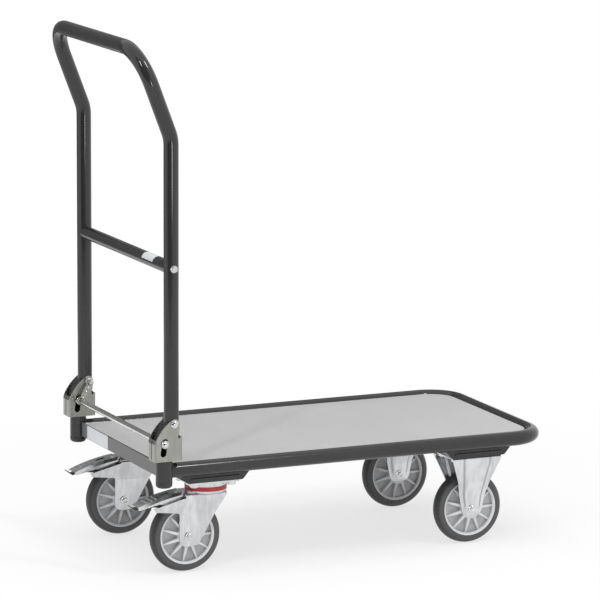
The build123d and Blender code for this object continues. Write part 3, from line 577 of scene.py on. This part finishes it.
# %% [markdown]
# ## Lock springs
# A drawn spring pulls the lock rod up on each side. It is a close coil of round wire whose last turns are
# bent out as rings, one round the inner end of the hinge bolt and one round the rod. A Screw modifier winds
# the coil, and Spin bends the rings. The coil is wound upright at the origin, then turned into the line from
# the bolt to the rod.

# %% Lock springs
WIRE_R, WIRE_SIDES, WIRE_SLACK = 0.95, 10, 0.02
COIL_R, COIL_TURNS, COIL_STEPS = 4.0, 11, 20
BOLT_RING_R, ROD_RING_R = 5.05, 6.05
RING_TURN, RING_STEPS = math.radians(290), 20
SPRING_Y = 168.9
reach = rod - pivot
coil_span = reach.length / MM - BOLT_RING_R - ROD_RING_R


def bend_ring(z_ring, height):
    """Bend the wire end at a height round a pin along X, and close it with a face."""
    bpy.ops.object.mode_set(mode="EDIT")
    bpy.ops.mesh.select_mode(type="VERT")
    bpy.ops.mesh.select_all(action="DESELECT")
    bpy.ops.object.mode_set(mode="OBJECT")
    for vertex in bpy.context.object.data.vertices:
        x, y, z = vertex.co
        at_height = abs(z - height * MM) < 1.01 * WIRE_R * MM
        vertex.select = at_height and abs(y) < WIRE_SLACK * MM and x > 0
    bpy.ops.object.mode_set(mode="EDIT")
    bpy.ops.mesh.spin(steps=RING_STEPS, angle=RING_TURN, center=(0, 0, z_ring * MM), axis=(1, 0, 0))
    bpy.ops.mesh.edge_face_add()
    bpy.ops.object.mode_set(mode="OBJECT")


def wind_spring(name, side):
    """A coil with its two rings, in the line from the bolt to the rod on one side of the cart."""
    clear_selection()
    bpy.ops.mesh.primitive_circle_add(
        vertices=WIRE_SIDES, radius=WIRE_R * MM, rotation=(math.pi / 2, 0, 0),
        location=(COIL_R * MM, 0, BOLT_RING_R * MM))
    place_in_mesh()
    pitch = coil_span / COIL_TURNS
    apply_modifier("SCREW", axis="Z", angle=2 * math.pi, screw_offset=pitch * MM, iterations=COIL_TURNS,
                   steps=COIL_STEPS, render_steps=COIL_STEPS, use_merge_vertices=False)
    bend_ring(0, BOLT_RING_R)
    bend_ring(reach.length / MM, BOLT_RING_R + coil_span)
    mend_mesh()
    along = reach.normalized()
    across = Vector((0, side, 0))
    turned = Matrix((across, along.cross(across), along)).transposed().to_4x4()
    middle = (pivot.x, side * SPRING_Y * MM, pivot.z)
    bpy.context.object.matrix_world = Matrix.Translation(middle) @ turned
    return settle(name, FINISHES["spring_wire"])


spring_right = wind_spring("wound_springs", side=-1)
spring_left = wind_spring("wound_spring_left", side=1)
make_active(spring_right)
spring_left.select_set(True)
bpy.ops.object.join()
springs = bpy.context.object
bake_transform(springs)
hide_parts("lock_springs")
print("springs are one piece with", len(springs.data.polygons), "faces")

# %% [markdown]
# ## Pressed front forks
# The fixed forks are folded from one sheet, and a panel with soft edges is pressed out of each leg. The crisp
# step in the CAD mesh can't show the upright stripes that such a panel has in its reflections. Here a flat
# grid stands for the sheet: its rows follow the folded section, its columns follow the tapered outline, and
# the panel is pushed out with a smooth step. Solidify gives the sheet its gauge, and Bevel rounds the cut
# edges. A plain white studio has few dark things to mirror, so dark reflections are painted into the colour
# of the slopes beside the panel, following an attribute of the mesh.

# %% Section, outline and panel of a front fork
FORK_GAUGE, CUT_EDGE, FORK_COLUMNS = 2.8, 0.7, 44
LEG_Y, LEAN, CROWN_Z = 20.7, 0.2917, 158.0
LEG_ROWS = (50.6, 50.9, 51.4, 52.2, 53.4, 55.0, 57.0, 59.5, 62.5, 66.0, 70.0, 74.0, 78.0, 82.1)
LEG = [(LEG_Y, z) for z in LEG_ROWS]
SHOULDER = [(20.85, 85.0)] + [(21.5 + LEAN * (z - 87.7), z) for z in range(88, 151, 3)]
FOLD = arc((34.0, 152.0), radius=6.0, start=-16.4, end=90, steps=7)
HALF_SECTION = LEG + SHOULDER + FOLD + [(24.0, CROWN_Z), (12.0, CROWN_Z)]
SECTION = HALF_SECTION + [(0.0, CROWN_Z)] + [(-y, z) for y, z in reversed(HALF_SECTION)]
FOOT = [(50.6, 5.0), (50.9, 7.5), (51.4, 9.8), (52.2, 12.2),
        (53.4, 14.4), (55.0, 16.2), (57.0, 17.6), (59.5, 18.6)]
OUTLINE = FOOT + [(62.5, 19.3), (85.0, 24.0), (111.0, 30.0), (130.0, 37.0), (150.0, 45.0), (CROWN_Z, 46.0)]
PANEL = [(50.0, 8.5), (62.5, 10.0), (150.0, 21.5)]
PANEL_RISE, PANEL_EDGE = 2.2, 6.0
PANEL_FOOT, FOOT_SOFT = 51.5, 3.0
PANEL_TOP, TOP_SOFT = 151.0, 8.0
# Painted dark reflections on the slopes: where they start and how softly, how strong they are, and their colour.
PAINTED_REFLECTION_FOOT, PAINTED_REFLECTION_SOFT = 58.0, 14.0
PAINTED_REFLECTION_AMOUNT, PAINTED_REFLECTION_COLOUR = 0.8, (0.26, 0.268, 0.28)


def between(table, value):
    """Read a table of (value, result) pairs, with straight lines between its rows."""
    for (low, first), (high, second) in zip(table, table[1:]):
        if value <= high:
            return first + (second - first) * max(0, value - low) / (high - low)
    return table[-1][1]


def soft_step(t):
    """A smooth step from 0 to 1."""
    t = min(max(t, 0), 1)
    return t * t * (3 - 2 * t)


def panel_step(x, z):
    """How far a place on a leg is pressed out, from 0 beside the panel to 1 on it, and how strong the painted
    dark reflection is there, strongest where the sheet bends.
    """
    side = soft_step((between(PANEL, z) + PANEL_EDGE - abs(x)) / PANEL_EDGE)
    step = side * soft_step((z - PANEL_FOOT) / FOOT_SOFT) * soft_step((PANEL_TOP - z) / TOP_SOFT)
    return step, 4 * side * (1 - side) * soft_step((z - PAINTED_REFLECTION_FOOT) / PAINTED_REFLECTION_SOFT)


# %% Zinc with painted dark reflections beside the pressed panel
def drawn_zinc():
    """Plain zinc sheet with a painted dark reflection where a mesh attribute says that the sheet was bent."""
    material = FINISHES["zinc_sheet"].copy()
    material.name = "drawn_zinc"
    tree = material.node_tree
    # The painted dark reflection, read from an attribute of the mesh.
    line = tree.nodes.new("ShaderNodeAttribute")
    line.attribute_name = "painted_reflection_line"
    lay_over(tree, math_node(tree, "MULTIPLY", line.outputs["Fac"], PAINTED_REFLECTION_AMOUNT), PAINTED_REFLECTION_COLOUR)
    return material


# %% Pressed front forks
def press_forks():
    """The right-hand fork, folded and pressed from a grid, with its twin."""
    axle = joint_at["wheel_front_right_spin"]
    centre = Vector((axle.x, axle.y, 0))
    rows = len(SECTION) - 1
    clear_selection()
    bpy.ops.mesh.primitive_grid_add(x_subdivisions=FORK_COLUMNS, y_subdivisions=rows, size=2)
    sheet = bpy.context.object.data
    # Each vertex stores how strong the painted dark reflection is at its place.
    lines = sheet.attributes.new("painted_reflection_line", "FLOAT", "POINT")
    for vertex in sheet.vertices:
        y, z = SECTION[round((vertex.co.y + 1) / 2 * rows)]
        x = vertex.co.x * between(OUTLINE, z)
        step, lines.data[vertex.index].value = panel_step(x, z)
        vertex.co = centre + Vector((x, y + math.copysign(PANEL_RISE * step, y), z)) * MM
    mend_mesh()
    crown = max(sheet.polygons, key=lambda face: face.center.z)
    outside = 1 if crown.normal.z > 0 else -1
    apply_modifier("SOLIDIFY", thickness=FORK_GAUGE * MM, offset=-outside, use_even_offset=True)
    round_edges(CUT_EDGE, sharper_than=55)
    add_twin()
    forks = settle("pressed_front_forks", drawn_zinc(), shade_angle=35)
    hang(forks, "deck", "zinc_sheet", "fixed_fork_right", "fixed_fork_left")


press_forks()

# %% [markdown]
# ## Hexagon bolts
# The casters hang on hexagon bolts with washers. The CAD heads are plain prisms. Here one head is bevelled,
# dished on its face and set on a washer, and then copied in edit mode to the sixteen places. A smaller one,
# turned on its side, holds the cross tube of the handle.

# %% One hexagon head
CHAMFER, DISH_RIM, DISH_DEPTH = 0.09, 0.13, -0.05  # shares of the radius of the head
WASHER_BEVEL = 0.2  # share of the height of the washer
HEX_SHADE = 25
DOWNWARD = -0.9


def select_underside():
    """Select the faces of the active mesh that look down, in edit mode."""
    bpy.ops.mesh.select_mode(type="FACE")
    bpy.ops.mesh.select_all(action="DESELECT")
    bpy.ops.object.mode_set(mode="OBJECT")
    for face in bpy.context.object.data.polygons:
        face.select = face.normal.z < DOWNWARD
    bpy.ops.object.mode_set(mode="EDIT")


def hex_head(radius, height, washer_radius, washer_height):
    """A bolt head that hangs below the origin: a bevelled and dished hexagon on a washer, selected in edit
    mode."""
    clear_selection()
    bpy.ops.mesh.primitive_cylinder_add(
        vertices=6, radius=radius * MM, depth=height * MM,
        location=(0, 0, -(washer_height + height / 2) * MM))
    place_in_mesh()
    bpy.ops.object.mode_set(mode="EDIT")
    select_underside()
    bpy.ops.mesh.bevel(offset=CHAMFER * radius * MM, segments=2, affect="EDGES")
    select_underside()
    bpy.ops.mesh.inset(thickness=DISH_RIM * radius * MM, depth=DISH_DEPTH * radius * MM)
    bpy.ops.mesh.primitive_cylinder_add(
        vertices=28, radius=washer_radius * MM, depth=washer_height * MM,
        location=(0, 0, -washer_height * MM / 2))
    bpy.ops.mesh.bevel(offset=WASHER_BEVEL * washer_height * MM, segments=2, affect="EDGES")
    bpy.ops.mesh.select_all(action="SELECT")


# %% Caster bolts
BOLT_X, REAR_BOLT_Y, FRONT_BOLT_Y = 34.0, 31.0, 25.0
bolt_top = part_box("caster_bolts")[1][2]


def caster_spots():
    """The bolt places of the four casters."""
    spots = []
    for name, bolt_y in (("swivel_{}_turn", REAR_BOLT_Y), ("wheel_front_{}_spin", FRONT_BOLT_Y)):
        corners = [Vector((sx * BOLT_X, sy * bolt_y, 0)) for sx in (-1, 1) for sy in (-1, 1)]
        for side in ("right", "left"):
            spots += [joint_at[name.format(side)] + corner * MM for corner in corners]
    return spots


hex_head(radius=7.5, height=5.3, washer_radius=9.0, washer_height=1.3)
spots = [Vector((spot.x, spot.y, bolt_top)) for spot in caster_spots()]
bpy.ops.transform.translate(value=spots[0])
for before, after in zip(spots, spots[1:]):
    bpy.ops.mesh.duplicate_move(TRANSFORM_OT_translate={"value": after - before})
bpy.ops.object.mode_set(mode="OBJECT")
complete("caster_bolt_heads", "zinc_fastener", "deck", "caster_bolts", shade_angle=HEX_SHADE)

# %% Cross tube bolts
CROSS_BOLT_SINK = 0.9
cross_low, cross_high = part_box("handle_cross_tube")
cross = Vector(((cross_low[0] + cross_high[0]) / 2, 0, (cross_low[2] + cross_high[2]) / 2))
upright_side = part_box("handle_tube")[1][1]
hex_head(radius=5.6, height=3.6, washer_radius=6.2, washer_height=1.6)
bpy.ops.object.mode_set(mode="OBJECT")
bpy.context.object.rotation_euler = (-math.pi / 2, 0, 0)
bpy.context.object.location = (cross.x, -upright_side + CROSS_BOLT_SINK * MM, cross.z)
place_in_mesh()
add_twin()
complete("cross_tube_bolt_heads", "zinc_fastener", "handle", "cross_tube_bolts", shade_angle=HEX_SHADE)

# %% [markdown]
# ## Welds
# The side tubes are coped and welded to the corner posts, and the pressed cross-members are stitched to the
# tubes. A weld follows the line where two parts meet. That line is already in the CAD mesh as the sharp edge
# of the cope, so a copy of the tube gives the edge, the edge becomes a curve with a round section, and a
# Displace modifier with a cloud texture makes it lumpy. The short stitches are turned from a rippled profile.

# %% Welds at the corner posts
TUBE_R = 12.5
COPE_DEPTH, COPE_SLACK = 20.0, 0.2
COPE_MERGE_GAP, COPE_SHARPNESS = 0.01, math.radians(35)
BEAD_R, BEAD_LUMPS, LUMP_SIZE = 1.5, 1.0, 2.2
WELD_SHADE = 60
ripple = bpy.data.textures.new("weld_ripple", "CLOUDS")
ripple.noise_scale = LUMP_SIZE * MM
tube_low, tube_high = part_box("deck_frame_tube")
frame_y, frame_z = tube_high[1] - TUBE_R * MM, (tube_low[2] + tube_high[2]) / 2
cope_reach = tube_low[0] + COPE_DEPTH * MM


def on_cope(point):
    """Whether a vertex lies on the outer edge of a coped end."""
    radius = math.hypot(abs(point.y) - frame_y, point.z - frame_z)
    return point.x < cope_reach and radius > (TUBE_R - COPE_SLACK) * MM


def cope_welds():
    """Beads along the coped ends of the side tubes."""
    tube = bpy.data.objects.new("cope_welds", nodes["deck_frame_tube"].data.copy())
    bpy.context.collection.objects.link(tube)
    make_active(tube)
    bpy.ops.object.mode_set(mode="EDIT")
    bpy.ops.mesh.select_all(action="SELECT")
    bpy.ops.mesh.remove_doubles(threshold=COPE_MERGE_GAP * MM)
    bpy.ops.mesh.select_mode(type="EDGE")
    bpy.ops.mesh.select_all(action="DESELECT")
    bpy.ops.mesh.edges_select_sharp(sharpness=COPE_SHARPNESS)
    bpy.ops.object.mode_set(mode="OBJECT")
    points = tube.data.vertices
    for edge in tube.data.edges:
        edge.select = not (edge.select and all(on_cope(points[i].co) for i in edge.vertices))
    bpy.ops.object.mode_set(mode="EDIT")
    bpy.ops.mesh.delete(type="EDGE")
    bpy.ops.mesh.select_mode(type="VERT")
    bpy.ops.mesh.select_all(action="SELECT")
    bpy.ops.mesh.delete_loose(use_verts=True, use_edges=False, use_faces=False)
    bpy.ops.object.mode_set(mode="OBJECT")
    print("cope edges", len(tube.data.edges))
    bpy.ops.object.convert(target="CURVE")
    bead = bpy.context.object.data
    bead.bevel_depth = BEAD_R * MM
    bead.bevel_resolution = 3
    bpy.ops.object.convert(target="MESH")
    apply_modifier("DISPLACE", texture=ripple, strength=BEAD_LUMPS * MM, mid_level=0.5)
    mend_mesh()
    complete("cope_welds", "dark_powder_coat", "deck", shade_angle=WELD_SHADE)


cope_welds()

# %% Stitch welds under the side tubes
STITCH_HALF, STITCH_R, STITCH_PITCH = 14.0, 1.9, 1.75
STITCH_X, STITCH_IN, STITCH_DROP = 24, 0.4, 1.0
lumps = [(STITCH_R * (0.9 + 0.1 * math.cos(i * math.pi)), i * STITCH_PITCH) for i in range(-7, 8)]
STITCH_END = [(1.3, STITCH_HALF + 0.6), (0.0, STITCH_HALF + 1.2)]
STITCH = [(radius, -along) for radius, along in reversed(STITCH_END)] + lumps + STITCH_END
pan_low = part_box("crossmember_rear")[0]
stitch_at = Vector((0, pan_low[1] + STITCH_IN * MM, frame_z - (TUBE_R + STITCH_DROP) * MM))


def stitch_welds():
    """One stitch along X, copied to both ends of each cross-member, then mirrored to the left."""
    draw_line([stitch_at + Vector((along, 0, radius)) * MM for radius, along in STITCH])
    bpy.ops.mesh.spin(steps=12, angle=2 * math.pi, center=stitch_at, axis=(1, 0, 0))
    bpy.ops.mesh.select_all(action="SELECT")
    middles = [joint_at[name].x for name in ("swivel_right_turn", "wheel_front_right_spin")]
    places = [middle + x * MM for middle in middles for x in (-STITCH_X, STITCH_X)]
    bpy.ops.transform.translate(value=(places[0], 0, 0))
    for before, after in zip(places, places[1:]):
        bpy.ops.mesh.duplicate_move(TRANSFORM_OT_translate={"value": (after - before, 0, 0)})
    mend_mesh()
    add_twin()
    complete("stitch_welds", "dark_powder_coat", "deck", shade_angle=WELD_SHADE)


stitch_welds()

# %% [markdown]
# ## Blank labels
# A pale sticker is wrapped round the cross tube and a film label covers one end of the rear plate. Both stay
# blank here. The sticker is an edge spun part of the way round the tube; the label is a plane with rounded
# corners. A Solidify modifier gives both the thickness of film.

# %% Cross tube sticker
FILM = 0.16
STICKER_Y = (-140.0, -93.0)
STICKER_R, STICKER_ANGLE, STICKER_START = 11.12, math.radians(93), math.radians(75)


def thicken_film():
    """Give the active sheet the thickness of film."""
    apply_modifier("SOLIDIFY", thickness=FILM * MM, offset=0.0)
    mend_mesh()


start = Vector((math.cos(STICKER_START), 0, math.sin(STICKER_START))) * STICKER_R
draw_line([cross + (start + Vector((0, y, 0))) * MM for y in STICKER_Y])
bpy.ops.mesh.spin(steps=24, angle=STICKER_ANGLE, center=cross, axis=(0, 1, 0))
mend_mesh()
thicken_film()
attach(settle("cross_tube_sticker", LABEL_FILM), "handle")

# %% Rear plate label
LABEL_Y, LABEL_INSET, LABEL_CORNER, LABEL_GAP = (60.0, 156.0), 0.6, 1.5, 0.55 * FILM
plate_low, plate_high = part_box("end_crossmember")
label_size = ((plate_high[2] - plate_low[2]) / MM - 2 * LABEL_INSET, LABEL_Y[1] - LABEL_Y[0])
label_at = (plate_low[0] - LABEL_GAP * MM, sum(LABEL_Y) / 2 * MM, (plate_low[2] + plate_high[2]) / 2)
clear_selection()
bpy.ops.mesh.primitive_plane_add(size=1, location=label_at, rotation=(0, -math.pi / 2, 0))
bpy.context.object.scale = (label_size[0] * MM, label_size[1] * MM, 1)
place_in_mesh()
bpy.ops.object.mode_set(mode="EDIT")
bpy.ops.mesh.select_all(action="SELECT")
bpy.ops.mesh.bevel(offset=LABEL_CORNER * MM, segments=4, affect="VERTICES")
bpy.ops.object.mode_set(mode="OBJECT")
thicken_film()
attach(settle("rear_plate_label", LABEL_FILM), "deck")

# %% [markdown]
# ## Dark edge of the end plate
# A thin dark line runs along the top edge of the end plate, beside the pale board, and it stops where the label
# begins. It could be painted on, but a small bead catches the light as the real rounded edge does. It is drawn
# by a small bead in the dark powder coat, darker than the plate, rather than painted on. A cylinder is laid
# along the edge, pressed a little flat, and its ends are rounded.

# %% Bead along the end plate
EDGE_R, EDGE_FLAT, EDGE_SINK, EDGE_ROUND = 0.95, 0.8, 0.45, 0.35
PLATE_INSET, LABEL_CLEARANCE = 1.0, 0.4
edge_ends = (plate_low[1] / MM + PLATE_INSET, LABEL_Y[0] - LABEL_CLEARANCE)
clear_selection()
bpy.ops.mesh.primitive_cylinder_add(
    vertices=16, radius=EDGE_R * MM, depth=(edge_ends[1] - edge_ends[0]) * MM,
    location=(plate_low[0] + EDGE_SINK * MM, sum(edge_ends) / 2 * MM, plate_high[2] - EDGE_SINK * MM),
    rotation=(math.pi / 2, 0, 0))
bpy.context.object.scale = (EDGE_FLAT, 1, 1)
place_in_mesh()
round_edges(EDGE_ROUND, sharper_than=60)
mend_mesh()
complete("end_plate_bead", "dark_powder_coat", "deck")

# %% [markdown]
# ## The studio
# The photograph is a cut-out on white with a faint soft shadow. The floor is pale paper that turns into plain
# white away from the cart for the eye and for reflections, while it stays ordinary paper for the light that
# falls on it. From below it is clear, so that the casters can be looked at. One broad lamp hangs overhead. It
# only gives light and isn't mirrored, which leaves the highlights to three small lamps near the camera. They
# draw crisp lines in the bends, and two dark cards, seen only in reflections, give the gloss depth.

# %% Floor
FLOOR_SIZE, PAPER, WHITE = 60, (0.93, 0.93, 0.93, 1), (1, 1, 1, 1)
NEAR_WHITE, FADE = 0.7, (0.35, 1.3)


def seen_or_mirrored(tree):
    """1 for rays from the camera, from gloss and through glass, and 0 for light that falls on things."""
    path = tree.nodes.new("ShaderNodeLightPath")
    seen = math_node(tree, "MAXIMUM", path.outputs["Is Camera Ray"], path.outputs["Is Glossy Ray"])
    return math_node(tree, "MAXIMUM", seen, path.outputs["Is Transmission Ray"])


def build_floor():
    """Paper that fades to plain white away from the cart, and is clear from below."""
    clear_selection()
    bpy.ops.mesh.primitive_plane_add(size=FLOOR_SIZE, location=(0, 0, 0))
    floor = bpy.context.object
    floor.name = "studio_floor"
    paper = bpy.data.materials.new("studio_paper")
    paper.use_nodes = True
    tree = paper.node_tree
    shader = tree.nodes["Principled BSDF"]
    shader.inputs["Base Color"].default_value = PAPER
    shader.inputs["Roughness"].default_value = 1.0
    shader.inputs["Specular IOR Level"].default_value = 0.0
    white = tree.nodes.new("ShaderNodeEmission")
    white.inputs["Color"].default_value = WHITE
    seen = seen_or_mirrored(tree)
    away = tree.nodes.new("ShaderNodeVectorMath")
    away.operation = "LENGTH"
    tree.links.new(object_place(tree), away.inputs[0])
    far = ramp_mask(tree, away.outputs["Value"], *FADE)
    share = math_node(tree, "MULTIPLY_ADD", far, 1 - NEAR_WHITE, NEAR_WHITE)
    mix = tree.nodes.new("ShaderNodeMixShader")
    tree.links.new(math_node(tree, "MULTIPLY", seen, share), mix.inputs["Fac"])
    tree.links.new(shader.outputs[0], mix.inputs[1])
    tree.links.new(white.outputs[0], mix.inputs[2])
    below = tree.nodes.new("ShaderNodeMixShader")
    tree.links.new(tree.nodes.new("ShaderNodeNewGeometry").outputs["Backfacing"], below.inputs["Fac"])
    tree.links.new(mix.outputs[0], below.inputs[1])
    tree.links.new(tree.nodes.new("ShaderNodeBsdfTransparent").outputs[0], below.inputs[2])
    tree.links.new(below.outputs[0], tree.nodes["Material Output"].inputs["Surface"])
    floor.data.materials.append(paper)


build_floor()
print("floor laid")


# %% World, cards and lamps
def build_world(strength_on_cart):
    """White where it is seen or mirrored, and softer as a light."""
    world = bpy.data.worlds.new("white_studio")
    bpy.context.scene.world = world
    world.use_nodes = True
    tree = world.node_tree
    sky = tree.nodes["Background"]
    sky.inputs["Color"].default_value = WHITE
    seen = seen_or_mirrored(tree)
    strength = math_node(tree, "MULTIPLY_ADD", seen, 1 - strength_on_cart, strength_on_cart)
    tree.links.new(strength, sky.inputs["Strength"])


def aimed(place, aim):
    """The matrix of a thing at a place that looks at an aim."""
    toward = Vector(aim) - Vector(place)
    return Matrix.Translation(place) @ toward.to_track_quat("-Z", "Y").to_matrix().to_4x4()


def add_card(name, place, aim, size, tone):
    """A dark card beside the set, seen only in reflections, which gives gloss something to mirror."""
    clear_selection()
    bpy.ops.mesh.primitive_plane_add(size=1)
    card = bpy.context.object
    card.name = name
    card.matrix_world = aimed(place, aim) @ Matrix.Diagonal((*size, 1, 1))
    for ray in ("camera", "diffuse", "transmission", "volume_scatter", "shadow"):
        setattr(card, f"visible_{ray}", False)
    paint = bpy.data.materials.new(name)
    paint.use_nodes = True
    shader = paint.node_tree.nodes["Principled BSDF"]
    shader.inputs["Base Color"].default_value = (tone, tone, tone, 1)
    shader.inputs["Roughness"].default_value = 1.0
    card.data.materials.append(paint)


def add_lamp(name, place, aim, size, watts, mirrored=True):
    """A rectangular lamp, which gloss may mirror or not."""
    data = bpy.data.lights.new(name, "AREA")
    data.shape = "RECTANGLE"
    data.size, data.size_y = size
    data.energy = watts
    lamp = bpy.data.objects.new(name, data)
    bpy.context.collection.objects.link(lamp)
    lamp.matrix_world = aimed(place, aim)
    lamp.visible_glossy = mirrored


add_card("camera_side_card", (-1.6, -2.1, 1.8), (0, 0, 1.8), size=(4.4, 3.6), tone=0.02)
add_card("far_side_card", (-0.4, 2.0, 1.03), (-0.4, 0, 1.03), size=(3.6, 2.06), tone=0.25)
build_world(strength_on_cart=0.6)
add_lamp("top_lamp", (-0.4, -0.5, 3.8), (0, 0, 0.3), size=(2.6, 2.6), watts=42, mirrored=False)
add_lamp("right_lamp", (0.75, -1.6, 2.9), (-0.2, 0, 0.7), size=(0.26, 0.8), watts=21)
add_lamp("left_lamp", (-1.75, -1.45, 2.1), (-0.3, 0, 0.8), size=(0.09, 0.7), watts=9)
add_lamp("low_lamp", (-0.52, -2.1, 0.5), (-0.3, 0, 0.6), size=(0.2, 0.34), watts=4)
bpy.context.scene.view_settings.view_transform = "Standard"
print("studio ready")

# %% [markdown]
# ## The camera
# The photograph was taken from far away with a long lens, from behind the right-hand rear corner and a little
# above. The camera is given by a target on the cart, a direction, a distance and a slight roll.

# %% Camera
AZIMUTH = math.radians(-24.18)
ELEVATION = math.radians(10.48)
ROLL = math.radians(0.27)
DISTANCE = 7.56127
TARGET = Vector((0.03341, 0.07238, 0.40209))
FOCAL_PIXELS = 4361.94
IMAGE_PIXELS = 600
SENSOR = 36.0

level = math.cos(ELEVATION)
outward = Vector((math.sin(AZIMUTH) * level, -math.cos(AZIMUTH) * level, math.sin(ELEVATION)))
level_right = Vector((math.cos(AZIMUTH), math.sin(AZIMUTH), 0))
level_up = outward.cross(level_right)
right = math.cos(ROLL) * level_right + math.sin(ROLL) * level_up
up = math.cos(ROLL) * level_up - math.sin(ROLL) * level_right
turned = Matrix((right, up, outward)).transposed().to_4x4()
camera_data = bpy.data.cameras.new("photo_camera")
camera_data.sensor_width = SENSOR
camera_data.lens = SENSOR * FOCAL_PIXELS / IMAGE_PIXELS
camera_data.clip_end = 100
camera = bpy.data.objects.new("photo_camera", camera_data)
bpy.context.collection.objects.link(camera)
camera.matrix_world = Matrix.Translation(TARGET + outward * DISTANCE) @ turned
bpy.context.scene.camera = camera
print("camera at", [round(v, 3) for v in camera.location], "lens", round(camera_data.lens, 1), "mm")
